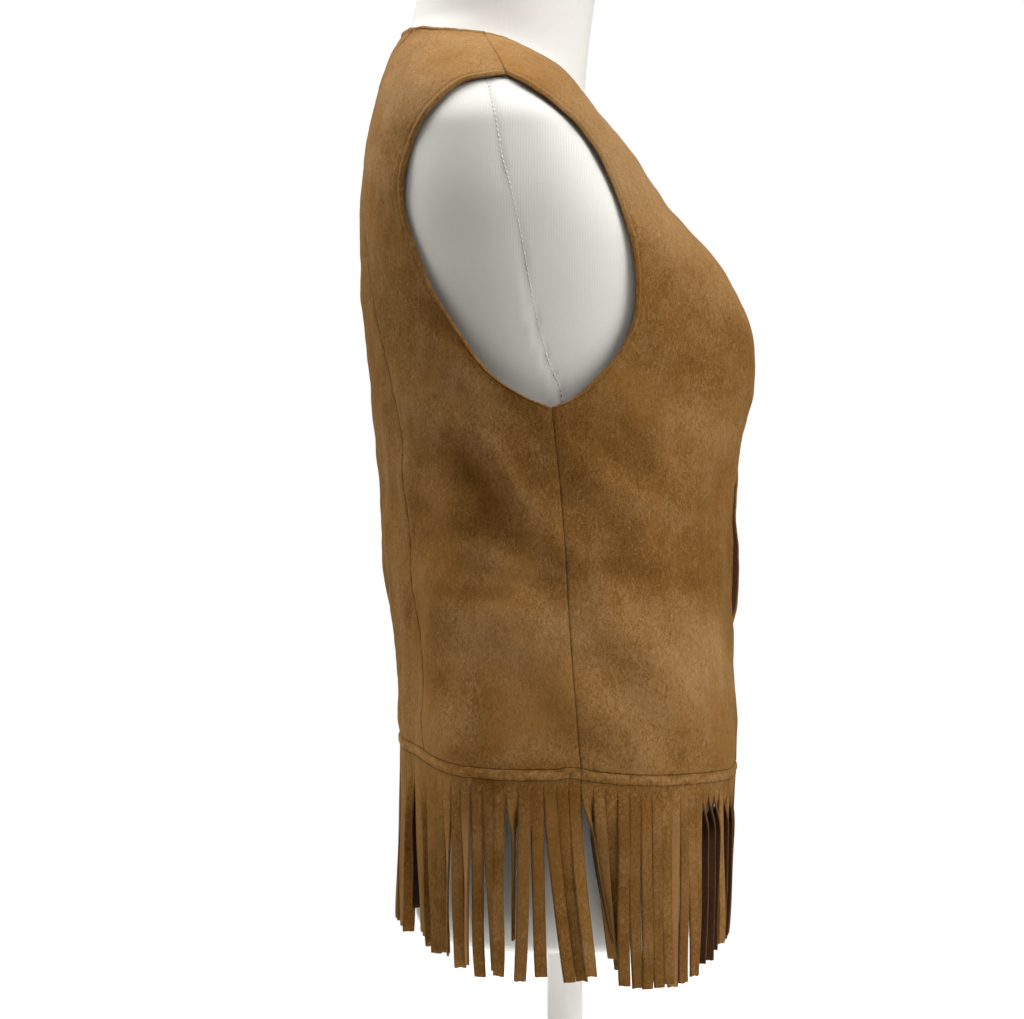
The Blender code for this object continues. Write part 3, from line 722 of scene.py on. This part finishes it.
def seamDip(distance, along, seed):
    mm = distance * 1000
    pucker = softNoise(along, along * 0, 0.010, seed) * bell(mm - 2.5, 3.2)
    return (-0.34 * bell(mm, 0.45) - 0.28 * bell(mm, 2.2) + 0.16 * pucker) / 1000


def spans(a, b):
    # straight distances between two lines on the vest
    return np.linalg.norm(vestBase(b[:, 0], b[:, 1]) - vestBase(a[:, 0], a[:, 1]), axis=-1)[:, None]


def lineEnds(start, end, row):
    a, b = start(row), end(row)
    share = 0.5 * vestCut["seamGap"] / spans(a, b)
    return a + (b - a) * share, b + (a - b) * share


def addPanel(name, side, start, end, lastRow, edges, seed):
    # edges gives for the start, end, top and bottom whether it is a turned edge, per row or as one number
    cut, look = vestCut, panelLook
    ends = np.array(look["endRows"])
    inner = np.arange(1, lastRow - 1 + 1e-9, 1 / look["rowsPerRow"])
    rows = np.concatenate((ends, inner, (lastRow - ends)[::-1]))
    first, last = lineEnds(start, end, rows)
    if edges["top"] == 0 and lastRow > neckRow:      # stop half a gap short of the shoulder seam
        shift = edges["shoulder"] * 0.5 * cut["seamGap"] / 0.09
        near = ramp(rows, lastRow - 1, lastRow)
        first[:, 0] += shift * near
        last[:, 0] += shift * near
    trial = np.linspace(0, 1, 40)[None, :, None]
    path = first[:, None] + (last - first)[:, None] * trial
    widths = np.linalg.norm(np.diff(vestBase(path[..., 0], path[..., 1]), axis=1), axis=-1).sum(1)
    edge = np.array(look["edgeColumns"]) / 1000
    middle = max(int((widths.max() - 2 * edge[-1]) / look["middleGap"]), 6)
    inside = np.linspace(0, 1, middle + 1)[1:-1]
    shares = np.stack([np.concatenate((
        edge / w, edge[-1] / w + (1 - 2 * edge[-1] / w) * inside, (1 - edge / w)[::-1])) for w in widths])
    grid = first[:, None] + (last - first)[:, None] * shares[..., None]
    toHem = hemLevel(grid[0, :, 0]) - grid[0, :, 1]
    grid[..., 1] += toHem * (1 - ramp(rows, 0, cut["hemRows"]))[:, None]
    turn, level = side * grid[..., 0], grid[..., 1]
    flat = vestPoint(turn, level)
    fromStart, fromEnd = runLengths(flat, 1)
    fromBottom, fromTop = runLengths(flat, 0)
    rowOf = np.broadcast_to(rows[:, None], turn.shape)

    def profile(distance, along, turned, offset):
        return turned * edgeRoll(distance) + (1 - turned) * seamDip(distance, along, seed + offset)

    turnedStart, turnedEnd = edges["start"](rowOf), edges["end"](rowOf)
    relief = profile(fromStart, fromBottom, turnedStart, 1) + profile(fromEnd, fromBottom, turnedEnd, 2)
    nearEnds = 0.30 + 0.70 * np.maximum(bell(fromStart * 1000, 9.0), bell(fromEnd * 1000, 7.0))
    atTop = 1.0 if edges["top"] else nearEnds     # the shoulder seam is pressed flat between its ends
    relief = relief + atTop * profile(fromTop, fromStart, edges["top"], 3)
    relief = np.maximum(relief + 0.5 * seamDip(fromBottom, fromStart, seed + 4), -look["deepestDip"])
    creases, more = creaseRelief(turn, level)
    base = vestPoint(turn, level, more * ramp(fromBottom, 0.0, 0.010))
    normal = outward(turn, level)
    wall = cut["wall"] + relief
    outer = base + normal * wall[..., None]
    push = np.full(turn.shape, 0.5 * cut["seamGap"])
    push = np.maximum(push, look["rimShare"] * cut["wall"] * np.maximum.reduce((
        turnedStart * (fromStart < 1e-6), turnedEnd * (fromEnd < 1e-6), edges["top"] * (fromTop < 1e-6))))

    def groove(distance, turned):
        sewn = (1 - turned) * look["seamLine"] * bell(distance, 0.0005)
        return sewn + turned * look["stitchLine"] * bell(distance - look["stitchInset"], 0.0008)

    shade = (edges["startLine"] * groove(fromStart, turnedStart) + edges["endLine"] * groove(fromEnd, turnedEnd)
             + atTop ** 2 * groove(fromTop, edges["top"]) + 0.3 * groove(fromBottom, 0.0))
    marks = {
        "seamShade": np.clip(shade * 0.85, 0, 1),
        # painted light and shade on the folds and creases: ridges lighter, troughs darker
        "foldLightAndTone": np.clip((creases + 0.25 * foldHeight(wrapped(turn), level, cut["folds"])) / 0.0016, -1, 1),
        # painted light and shade: faces turned upwards lighter, a band across the shoulders lighter, one across
        # the waist darker
        "paintedTopLight": (ramp(normal[..., 2], -0.05, 0.40) + 0.9 * bell(level - 0.675, 0.032)
                    - 0.35 * bell(level - 0.425, 0.045)),
    }
    return closedCloth(name, outer, base, push, marks, tanSuede, brownReverse)


def always(value):
    return lambda row: np.full(np.shape(row), float(value))


def edgeAbove(row):
    return lambda rows: ramp(rows, row - 0.02, row + 0.12)


def dressCloth(piece, node):
    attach(piece, "root")
    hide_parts(node)


def addPanels():
    made = {}
    front = {"start": always(1), "end": edgeAbove(armRow), "top": 0, "shoulder": -1,
             "startLine": 1.0, "endLine": 0.6}
    sideBack = {"start": edgeAbove(neckRow), "end": edgeAbove(armRow), "top": 0, "shoulder": 1,
                "startLine": 1.5, "endLine": 0.6}
    for name, side, seed in (("Right", -1, 10), ("Left", 1, 20)):
        made["front" + name] = addPanel(
            "front" + name, side, lines["frontEdge"], lines["frontSide"], allRows, front, seed)
        made["sideBack" + name] = addPanel(
            "sideBack" + name, side, lines["backSeamAndNeck"], lines["backSide"], allRows, sideBack, seed + 5)

    def otherSeam(rows):
        line = lines["backSeam"](rows)
        return np.stack((math.tau - line[..., 0], line[..., 1]), -1)

    centre = {"start": always(0), "end": always(0), "top": 1, "shoulder": 0, "startLine": 1.5, "endLine": 1.5}
    made["centreBack"] = addPanel("centreBack", 1, lines["backSeam"], otherSeam, neckRow, centre, 30)
    return made


panelCuts = {     # node, flat width and length, area of the cut
    "frontRight": ("front_right", (0.262, 0.500), 0.0775),
    "frontLeft": ("front_left", (0.262, 0.500), 0.0780),
    "sideBackRight": ("side_back_right", (0.165, 0.500), 0.0558),
    "sideBackLeft": ("side_back_left", (0.165, 0.500), 0.0555),
    "centreBack": ("centre_back", (0.240, 0.495), 0.0890),
}
for name, panel in addPanels().items():
    node, flat, area = panelCuts[name]
    dressCloth(panel, node)
    print(f"{name}: {len(panel.data.polygons)} faces")

# ---- hem band ----

bandLook = {
    "height": 0.0070, "splay": 0.0002, "wall": 0.0018, "gap": 0.0001, "columnGap": 0.0022, "rows": 14,
    "roundness": 0.0006, "edgeDrop": 0.0004, "rim": 0.0002, "pucker": 0.00034,
    "cutHeight": 0.0105, "areaHeight": 0.0100,       # of the flat cut, and of its area over its length
}


class Hem:
    # the hem line between two turns, measured along its length

    def __init__(self, start, end):
        self.turns = np.linspace(start, end, 401)
        self.lengths = lengthsAlong(vestPoint(self.turns, hemLevel(self.turns)))
        self.length = self.lengths[-1]

    def hanging(self, distance, drop):
        # a point straight below the hem, with the directions outwards and along
        turn = np.interp(distance, self.lengths, self.turns)
        level = hemLevel(turn)
        out = outward(turn, level)
        out[..., 2] = 0
        out = unit(out)
        along = np.stack((-out[..., 1], out[..., 0], 0 * out[..., 0]), -1)
        point = vestPoint(turn, level)
        point[..., 2] -= drop
        return point, out, along


def addBand(name, hem, seed):
    look, gap = bandLook, vestCut["seamGap"]
    columns = int(hem.length / look["columnGap"])
    share, run = np.meshgrid(np.linspace(0, 1, look["rows"] + 1), np.linspace(0, 1, columns + 1), indexing="ij")
    distance = 0.5 * gap + (hem.length - gap) * run
    drop = look["splay"] + look["gap"] + (look["height"] - look["gap"] - 2 * look["splay"]) * share
    inner, out, _ = hem.hanging(distance, drop)
    arch = np.sin(math.pi * share)
    gathers = (softNoise(distance, share * 0.004, 0.0045, seed)
               + 0.6 * softNoise(distance, share * 0.01, 0.016, seed + 1))
    lift = look["wall"] - look["edgeDrop"] * (1 - arch ** 0.7) + look["roundness"] * arch ** 0.8
    lift = lift + look["pucker"] * gathers * (0.4 + 0.6 * arch)
    outer = inner + out * lift[..., None]
    push = np.full(share.shape, look["rim"])
    height = look["height"] * share
    marks = {
        "seamShade": 0.10 * bell(height * 1000, 0.6) + 0.05 * bell((look["height"] - height) * 1000, 0.6),
        # painted light and shade: the band's rounded middle lighter, its edges darker, its puckers lighter and
        # darker
        "foldLightAndTone": 0.8 * (arch - 0.25) + 0.60 * gathers,
        "paintedTopLight": 0 * share,
    }
    return closedCloth(name, outer, inner, push, marks, tanSuede, brownReverse)


# ---- fringe ----

fringeLook = {
    "pitch": 0.0076, "width": 0.0074, "taper": 0.96, "heading": 0.0030, "wall": 0.0013,
    "lengths": (                  # degrees away from the middle front, length below the heading
        (20, 0.102), (45, 0.102), (52, 0.1065), (60, 0.117), (72, 0.121), (84, 0.119), (95, 0.1182),
        (108, 0.1158), (120, 0.113), (150, 0.114),
    ),
    "headingRows": 3, "strapRows": 24, "crown": 0.00016, "lift": 0.0004, "rim": 0.0004,
    "ragged": 0.00022, "sway": 0.0005, "sideShade": 0.46, "topShade": 0.20,
    "strapsPerClump": (2, 3, 4, 3, 5),
    "lean": 0.0024,               # how far a clump's tips drift sideways
    "gather": 0.13,               # share by which a clump's tips draw together
    "twist": math.radians(8),
    "turnedStraps": 0.07,         # share of the straps that turn on edge
    "cutLength": 0.115,           # of the straps in the flat cut
    "cutShare": 0.975,            # share of the flat cut that is left between the slits
}
strapsByHand = {
    # run and first strap, then a row for each strap: sideways and outwards at the tip in mm, twist in degrees,
    # how much longer and how far joined in mm, tone, which is partly painted light and shade on the straps
    ("Back", 16): (
        (-2, -3.6, -10, 0, 0, -0.3), (-1, -4, 14, 0, 0, -0.5), (0, -3.8, -8, 0, 0, -0.3),
        (1, 3, 10, 0, 0, -0.4), (1, 3.2, -12, 0, 0, -0.5),
    ),
    ("Back", 41): (
        (0, 0.8, -12, 0, 0, -0.3), (-0.6, 0.4, -16, -1, 0, -0.5), (-1.2, 0.8, -14, 0.5, 0, -0.3),
        (-1, 0.6, -18, -1, 0, -0.5), (-1, 1, -12, -2, 0, -0.4), (-1.6, 2.6, -76, 0, 0, 0),
        (-1.4, -1.6, 58, -16, 0, -0.9), (-1, -4.6, -8, -3, 0, -0.5), (0, -3.2, -8, -4, 0, -0.4),
        (0.6, -2, -8, -3, 0, -0.5), (1, -2.8, -74, 1, 0, -0.1), (0.8, -3.6, -4, -1, 0, -0.5),
        (0.6, -0.9, -28, 0, 0, -0.2), (0.4, -2.6, -18, -3, 0, -0.6), (-0.4, -0.6, 40, -4, 0, -0.1),
        (0.6, -1.9, -40, 1, 0, 0.2), (0.2, -1.6, 38, -3, 0, 0.9), (1.5, -1.4, -12, 3, 0, -0.1),
        (4.6, -1.8, 26, -2, 0, -0.5), (-1, 2, 5, -0.5, 3.5, 0.1), (-1.4, -6, -95, -22, 5, -0.9),
        (-2.2, 1, 3, 1.5, 20, 0.4), (2.4, 0.6, -4, -1.5, 0, 0.1), (12.4, 3.4, -14, 1, 0, -0.3),
        (12, -0.8, 16, 2, 0, -0.1), (9.8, 2.4, -6, -1, 3, 0.2),
    ),
    ("Right", 0): (
        (14.8, -3.6, -100, -22, 0, -0.9), (9.4, -2.4, 38, -14, 0, 0.5), (7, -4.2, 20, -8, 0, -0.8),
        (0.3, 2.8, 4, -0.5, 0, -0.6), (0, 2.2, -3, 0.5, 6, -0.8), (0, 2.6, 2, 0.5, 0, -0.5),
        (0.5, 2.2, 4, 0, 26, -0.6), (1.2, 0.4, 6, -1, 12, -0.3), (-0.6, -1.8, 20, 2, 4, 1),
        (-1.2, 1.8, 6, 0.5, 5, -0.6), (0.4, 1.2, 10, -1, 6, -0.3), (-2, -0.8, 8, 0, 8, -0.5),
        (-3.6, -1, -118, -4, 0, -0.8), (-3.4, 0.8, -132, -2, 0, -0.9), (-3.6, -0.8, -112, -4, 0, -0.9),
        (-1.6, 1.4, 12, -5, 0, 0.3), (-3.4, -1.4, -112, -3, 0, -0.8), (-2.2, -2.2, -24, -2, 0, -0.4),
        (-1, -3.4, -96, -3, 0, -0.8), (-0.4, -4.2, -20, 0, 0, -0.5), (-0.4, -4.8, -84, -2, 0, -0.7),
        (0.3, -6.4, -10, 0, 0, -0.4), (0, -6.6, 8, -2, 0, -0.2), (0.4, -6.6, -6, 0, 0, 0),
        (-0.2, -6.8, 6, -1, 0, -0.2), (0.2, -6.6, -8, 0, 0, -0.1),
    ),
}
handColumns = ("side", "out", "twist", "longer", "slit", "tone")
handUnits = (0.001, 0.001, math.radians(1), 0.001, 0.001, 1)


def strapPlan(run, straps, middles, seed):
    look, chance = fringeLook, np.random.default_rng(seed)
    plan = {"side": np.zeros(straps), "out": np.zeros(straps)}
    strap = 0
    while strap < straps:
        size = int(chance.choice(look["strapsPerClump"]))
        group = slice(strap, min(strap + size, straps))
        lean = chance.normal(0, look["lean"])
        centre = middles[group].mean()
        plan["side"][group] = lean + (centre - middles[group]) * look["gather"]
        plan["out"][group] = chance.uniform(-0.0016, 0.0024)
        strap += size
    plan["side"] += chance.normal(0, 0.0005, straps)
    plan["out"] += chance.normal(0, 0.0008, straps)
    plan["twist"] = chance.normal(0, look["twist"], straps)
    turned = chance.random(straps) < look["turnedStraps"]
    plan["twist"] += turned * chance.choice((-1, 1), straps) * math.radians(50)
    plan["longer"] = chance.normal(0, 0.0012, straps)
    plan["wave"] = chance.normal(0, 0.0008, straps)
    plan["phase"] = chance.uniform(0, math.tau, straps)
    plan["slit"] = np.where(chance.random(straps) < 0.30, chance.uniform(0.006, 0.030, straps), 0.0)
    plan["tone"] = np.clip(chance.normal(0, 0.45, straps), -1, 1)
    for (handRun, first), rows in strapsByHand.items():
        if handRun == run:
            for key, size, column in zip(handColumns, handUnits, zip(*rows)):
                plan[key][first:first + len(rows)] = np.array(column) * size
    return plan


strapLength = tableCurves(fringeLook["lengths"])[0]


def addFringe(name, run, hem, seed):
    look, gap = fringeLook, vestCut["seamGap"]
    usable = hem.length - gap
    straps = round(usable / look["pitch"])
    pitch = usable / straps
    middles = 0.5 * gap + pitch * (np.arange(straps) + 0.5)
    plan = strapPlan(run, straps, middles, seed)
    places = np.array((-1, -0.72, 0, 0.72, 1))      # across a strap
    across = len(places)
    down = np.concatenate((np.zeros(look["headingRows"] + 1), np.linspace(0, 1, look["strapRows"] + 1)[1:]))
    head = np.concatenate((np.linspace(0, 1, look["headingRows"] + 1), np.ones(look["strapRows"])))
    rows = len(down)

    # every row of every strap: how far down it, how far across it, and what the plan says of it
    full = np.zeros((rows, straps, across))
    t, headShare, u = down[:, None, None] + full, head[:, None, None] + full, places + full
    middle = middles[:, None] + full
    hand = {key: values[:, None] + full for key, values in plan.items()}
    turns = np.degrees(np.abs(wrapped(np.interp(middles, hem.lengths, hem.turns))))
    ragged = np.random.default_rng(seed + 1).normal(0, look["ragged"], (1, straps, across)) * (t > 0.99)
    drop = (bandLook["height"] + bandLook["gap"] + headShare * look["heading"]
            + t * (strapLength(turns)[:, None] + hand["longer"]) + ragged)
    reach = u * 0.5 * look["width"] * (1 - (1 - look["taper"]) * t)
    point, out, _ = hem.hanging(middle + reach, drop)
    centre, outMiddle, along = hem.hanging(middle, drop)
    side = hand["side"] * t ** 1.4 + hand["wave"] * np.sin(5.2 * t + hand["phase"]) * t
    away = hand["out"] * t ** 1.2 + look["sway"] * np.sin(8 * t + hand["phase"]) * t
    soon = 0.85 - 0.50 * np.clip(np.abs(hand["twist"]) / quarter, 0, 1)
    twist = (hand["twist"] * ramp(t, 0.02, soon))[..., None]
    hung = centre + (along * np.cos(twist) + outMiddle * np.sin(twist)) * reach[..., None]
    blend = ramp(t, 0.0, 0.12)[..., None]
    facing = unit(out * (1 - blend) + (outMiddle * np.cos(twist) - along * np.sin(twist)) * blend)
    inner = point * (1 - blend) + hung * blend + along * side[..., None] + outMiddle * away[..., None]
    lift = (look["wall"] + look["crown"] * (1 - u ** 2) * (t > 0)
            + look["lift"] * (1 - ramp(headShare, 0.0, 1.0)) * (t == 0))
    outer = inner + facing * lift[..., None]

    shape = (rows, straps * across)
    outer, inner = outer.reshape(*shape, 3), inner.reshape(*shape, 3)
    keep = np.ones((rows - 1, shape[1] - 1), bool)
    for strap in range(straps - 1):
        joinedRows = (down[:-1] * 0.11 < plan["slit"][strap]) & (plan["slit"][strap] > 0)
        keep[:, strap * across + across - 1] = (np.arange(rows - 1) < look["headingRows"]) | joinedRows
    sideShade = look["sideShade"] * (np.abs(u) > 0.9) * (t > 0)
    topShade = look["topShade"] * bell(headShare * look["heading"], 0.0012) * (t == 0)
    marks = {
        "seamShade": np.clip(sideShade + topShade, 0, 1).reshape(shape),
        # random tone along each strap
        "foldLightAndTone": 0.5 * softNoise(middle, t * 0.11, 0.03, seed).reshape(shape),
        "strapToneAndShade": (hand["tone"] * ramp(t, 0.0, 0.35)).reshape(shape),
        "paintedTopLight": np.zeros(shape),
    }
    rim = np.full(shape, look["rim"])
    return closedCloth(name, outer, inner, rim, marks, fringeSuede, shadedStrapReverse, keep), straps


def addHem():
    edge, seam = float(lines["frontEdge"](0.0)[0]), float(lines["frontSide"](0.0)[0])
    runs = {"Right": (-seam, -edge), "Left": (edge, seam), "Back": (seam, math.tau - seam)}
    for seed, (run, (start, end)) in enumerate(runs.items(), 40):
        hem = Hem(start, end)
        band = addBand("hemBand" + run, hem, seed)
        dressCloth(band, "hem_band_" + run.lower())
        fringe, straps = addFringe("fringe" + run, run, hem, seed * 3)
        dressCloth(fringe, "fringe_" + run.lower())
        print(f"hem {run}: {hem.length:.3f} m, {straps} straps")


addHem()

# ---- sewing thread ----

threadLook = {"reach": 0.0031, "gap": 0.0009, "radius": 0.00021, "colour": (0.205, 0.106, 0.034),
              "sunk": 0.00036}       # how deep the thread lies in the suede
formThreadLook = {"reach": 0.0024, "gap": 0.0010, "radius": 0.00036, "colour": (0.84, 0.83, 0.80)}


def addStitches(name, paths, look):
    # short rounded stitches along paths of points with their outward directions
    ringAt = np.array((0, 0.18, 0.5, 0.82, 1.0))
    ringSize = np.array((0.35, 0.9, 1.0, 0.9, 0.35))
    dip = np.array((-1.2, -0.1, 0.35, -0.1, -1.2))
    sides = 5
    points, faces = [], []
    capsule = [face[:1] + face[:0:-1] for face in ringFaces(len(ringAt), sides)]
    for path, normals in paths:
        lengths = lengthsAlong(path)
        count = int(lengths[-1] / (look["reach"] + look["gap"]))
        step = lengths[-1] / count
        spots = step * np.arange(count)[:, None] + 0.5 * look["gap"] + look["reach"] * ringAt
        place = np.stack([np.interp(spots, lengths, path[:, k]) for k in range(3)], -1)
        normal = unit(np.stack([np.interp(spots, lengths, normals[:, k]) for k in range(3)], -1))
        ahead = unit(place[:, -1:] - place[:, :1] + 0 * place)
        beside = unit(np.cross(ahead, normal))
        place = place + normal * (dip * look["radius"])[None, :, None]
        for stitch in range(count):
            base = len(points) + stitch * len(ringAt) * sides
            faces += [[base + corner for corner in face] for face in capsule]
        angle = (math.tau * np.arange(sides) / sides)[:, None]
        around = beside[..., None, :] * np.cos(angle) + normal[..., None, :] * np.sin(angle)
        rings = place[..., None, :] + around * (ringSize * look["radius"])[:, None, None]
        points += rings.reshape(-1, 3).tolist()     # stitch, ring, side
    mesh = addMesh(name, points, faces)
    thread = Finish(name + "Thread", Roughness=0.7, Sheen_Weight=0.1)
    twist = thread.noise(thread.place(), 2600.0, 1.0)
    shade = tuple(0.6 * c for c in look["colour"])
    mesh.materials.append(thread.feed(Base_Color=thread.mix(twist, shade, look["colour"])))
    piece = addObject(name, mesh)
    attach(piece, "root")
    return piece


def shellPath(start, end, rows, depth, side, out):
    # points in the stitching trough, this deep inside the edge that the start line is
    a, b = lineEnds(start, end, rows)
    at = a + (b - a) * (depth / spans(a, b))
    turn, level = side * at[:, 0], at[:, 1]
    normal = outward(turn, level)
    return vestPoint(turn, level, creaseRelief(turn, level)[1]) + normal * out, normal


def addVestStitches():
    depth, out = panelLook["stitchInset"], vestCut["wall"] - threadLook["sunk"]
    paths = []
    for side in (-1, 1):
        for edge, facing, firstRow, count in (
            ("frontEdge", "frontSide", 0.3, 400),
            ("frontSide", "frontEdge", armRow + 0.6, 260),
            ("backSide", "backSeamAndNeck", armRow + 0.6, 260),
            ("backSeamAndNeck", "backSide", neckRow + 0.4, 60),
        ):
            rows = np.linspace(firstRow, allRows, count)
            paths.append(shellPath(lines[edge], lines[facing], rows, depth, side, out))
    addStitches("edgeStitches", paths, threadLook)


addVestStitches()
print("topstitching set")

# ---- dress form ----

formLook = {
    "cloth": (0.800, 0.794, 0.778),
    "shadeCloth": (0.715, 0.707, 0.686),
    "strip": (0.900, 0.895, 0.880),
    "ribs": 620,
    "sideSeam": (      # level and turn of the side seam
        (0.17, -87), (0.3, -87), (0.45, -86), (0.5195, -87.1), (0.541, -89.9), (0.572, -92.1), (0.603, -93.1),
        (0.648, -93.9), (0.673, -94.9), (0.714, -94.9),
    ),
    "seamDip": 0.00035,
    "seamWidth": 0.0011,
    "stripWidth": 0.0085,
    "stripTop": 0.585,
    "stripRise": 0.00012,
    "coverTop": 0.722,             # the cloth's seam ends here
}
formSeam = tableCurves(formLook["sideSeam"])[0]


def addForm():
    cut, look = formCut, formLook
    arc = np.radians(np.linspace(0, 90, 7))
    rounded = cut["edge"] * (1 - np.cos(arc)), cut["edge"] * (1 - np.sin(arc))
    body = np.arange(cut["bottom"] + cut["edge"], cut["top"] - cut["edge"], cut["ringGap"])[1:]
    levels = np.concatenate((np.full(4, cut["bottom"]), cut["bottom"] + rounded[0], body,
                             (cut["top"] - rounded[0])[::-1], np.full(4, cut["top"])))
    flat = np.array((0.02, 0.25, 0.5, 0.75))
    insets = np.concatenate((np.zeros(4), rounded[1], np.zeros(len(body)), rounded[1][::-1], np.zeros(4)))
    shares = np.concatenate((flat, np.ones(len(levels) - 8), flat[::-1]))
    turns = np.linspace(-math.pi, math.pi, cut["segments"] + 1)[:-1]
    turn, level = np.meshgrid(turns, levels)
    place = ringPoint(turn, level)
    middle = np.stack((0 * level, formCurves[5](level), place[..., 2]), -1)
    outline = place - middle
    reach = np.linalg.norm(outline, axis=-1, keepdims=True)
    inset = np.where(shares < 1, cut["edge"], insets)[:, None, None]
    outline = outline * (1 - inset / reach) * shares[:, None, None]
    points = middle + outline

    away = np.minimum.reduce([np.abs(wrapped(turn - side * np.radians(-formSeam(level)))) for side in (-1, 1)])
    away = away * np.maximum(reach[..., 0], 0.02)
    behind = np.where(np.abs(turn) > np.radians(-formSeam(level)), away, 1.0)
    onBody = (level < look["coverTop"]) & (shares[:, None] == 1)
    dip = look["seamDip"] * bell(away, look["seamWidth"]) * onBody
    wander = 0.0007 * softNoise(level, 0 * level, 0.003, 77)
    strip = ramp(behind + wander, look["stripWidth"], look["stripWidth"] * 0.8) * onBody
    strip = strip * ramp(level, look["stripTop"] + 0.02, look["stripTop"])
    points -= unit(outline) * (dip - look["stripRise"] * strip)[..., None]

    mesh = addMesh("formTorso", points.reshape(-1, 3).tolist(), ringFaces(*turn.shape))
    for key, mark in (("seamGroove", bell(away, 0.0012) * onBody), ("seamStrip", strip)):
        writeMark(mesh, key, mark.reshape(-1))
    form = addObject("formTorso", mesh)

    jersey = Finish("formJersey", Roughness=0.82, Sheen_Weight=0.12, Sheen_Roughness=0.5,
                    Specular_IOR_Level=0.3)
    spot = jersey.place()
    x, y = (jersey.node("ShaderNodeSeparateXYZ", None, {0: spot}, axis) for axis in (0, 1))
    angle = x.sum("ARCTAN2", 0.01 - y)
    drift = jersey.noise(spot, 9.0, 2.0)
    rib = jersey.node("ShaderNodeMath", {"operation": "SINE"}, {0: angle * look["ribs"] + drift * 9.0})
    loops = jersey.noise(jersey.place((1, 1, 0.45)), 950.0, 2.0, 0.6)
    clouds = jersey.noise(spot, 14.0, 3.0)
    ribShare = jersey.between(clouds, 0.35, 0.62, 0.25, 1.0)
    tone = 0.55 + rib * ribShare * 0.05 + (loops - 0.5) * 0.6 + (clouds - 0.5) * 0.7
    base = jersey.mix(jersey.between(tone, 0.1, 0.9), look["shadeCloth"], look["cloth"])
    base = jersey.mix(jersey.mark("seamStrip") * 0.7, base, look["strip"])
    # painted shade in the groove of the side seam
    base = jersey.mix(jersey.mark("seamGroove") * 0.40, base, tuple(0.5 * c for c in look["shadeCloth"]))
    bump = jersey.bump(rib * ribShare * 0.5 + loops * 0.6, 0.13, 0.0004)
    mesh.materials.append(jersey.feed(Base_Color=base, Normal=bump))
    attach(form, "root")
    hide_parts("form_torso")

    seams = []
    for side in (-1, 1):
        level = np.linspace(cut["bottom"] + 2 * cut["edge"], look["coverTop"], 400)
        turn = side * np.radians(-formSeam(level))
        path = ringPoint(turn, level)
        out = unit(path - np.stack((0 * level, formCurves[5](level), path[:, 2]), -1))
        seams.append((path - out * 0.00012, out))
    addStitches("formStitches", seams, formThreadLook)


addForm()
print("dress form set")

# ---- stand ----

standLook = {
    "paint": (0.790, 0.785, 0.770),
    "worn": (0.450, 0.430, 0.395),
    "around": 96,
    "base": ((0.1575, 0.0), (0.1592, 0.0006), (0.1600, 0.0022), (0.1600, 0.0100), (0.1588, 0.0128),
             (0.1560, 0.0140), (0.030, 0.0140)),
    "pole": ((0.0240, 0.0143), (0.0240, 0.0196), (0.0232, 0.0210), (0.0190, 0.0240),
             (0.0148, 0.0280), (0.0125, 0.0330), (0.0125, 0.1390), (0.0140, 0.1440), (0.0185, 0.1520),
             (0.0280, 0.1585), (0.0440, 0.1630), (0.0450, 0.1642), (0.0450, 0.1690), (0.0444, 0.1697)),
}


def addTurned(name, node, outline):
    around = standLook["around"]
    angles = np.linspace(0, math.tau, around + 1)[:-1]
    points = [(r * math.cos(a), r * math.sin(a), z) for r, z in outline for a in angles]
    mesh = addMesh(name, points, ringFaces(len(outline), around))
    mesh.set_sharp_from_angle(angle=math.radians(35))
    mesh.materials.append(standPaint)
    piece = addObject(name, mesh)
    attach(piece, "root")
    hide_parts(node)


def makeStandPaint():
    paint = Finish("standPaint", Coat_Roughness=0.2)
    spot = paint.place()
    scuffs = paint.noise(paint.place((1, 1, 0.25)), 120.0, 4.0, 0.7, 0.8)
    orange = paint.noise(spot, 700.0, 2.0)
    worn = paint.between(scuffs, 0.66, 0.78, 0.0, 0.8)
    return paint.feed(Base_Color=paint.mix(worn, standLook["paint"], standLook["worn"]),
                      Roughness=0.34 + worn * 0.25 + (orange - 0.5) * 0.08,
                      Normal=paint.bump(orange, 0.08, 0.0003))


standPaint = makeStandPaint()
addTurned("standPole", "stand_pole", standLook["pole"])
addTurned("standBase", "stand_base", standLook["base"])
print("stand set")
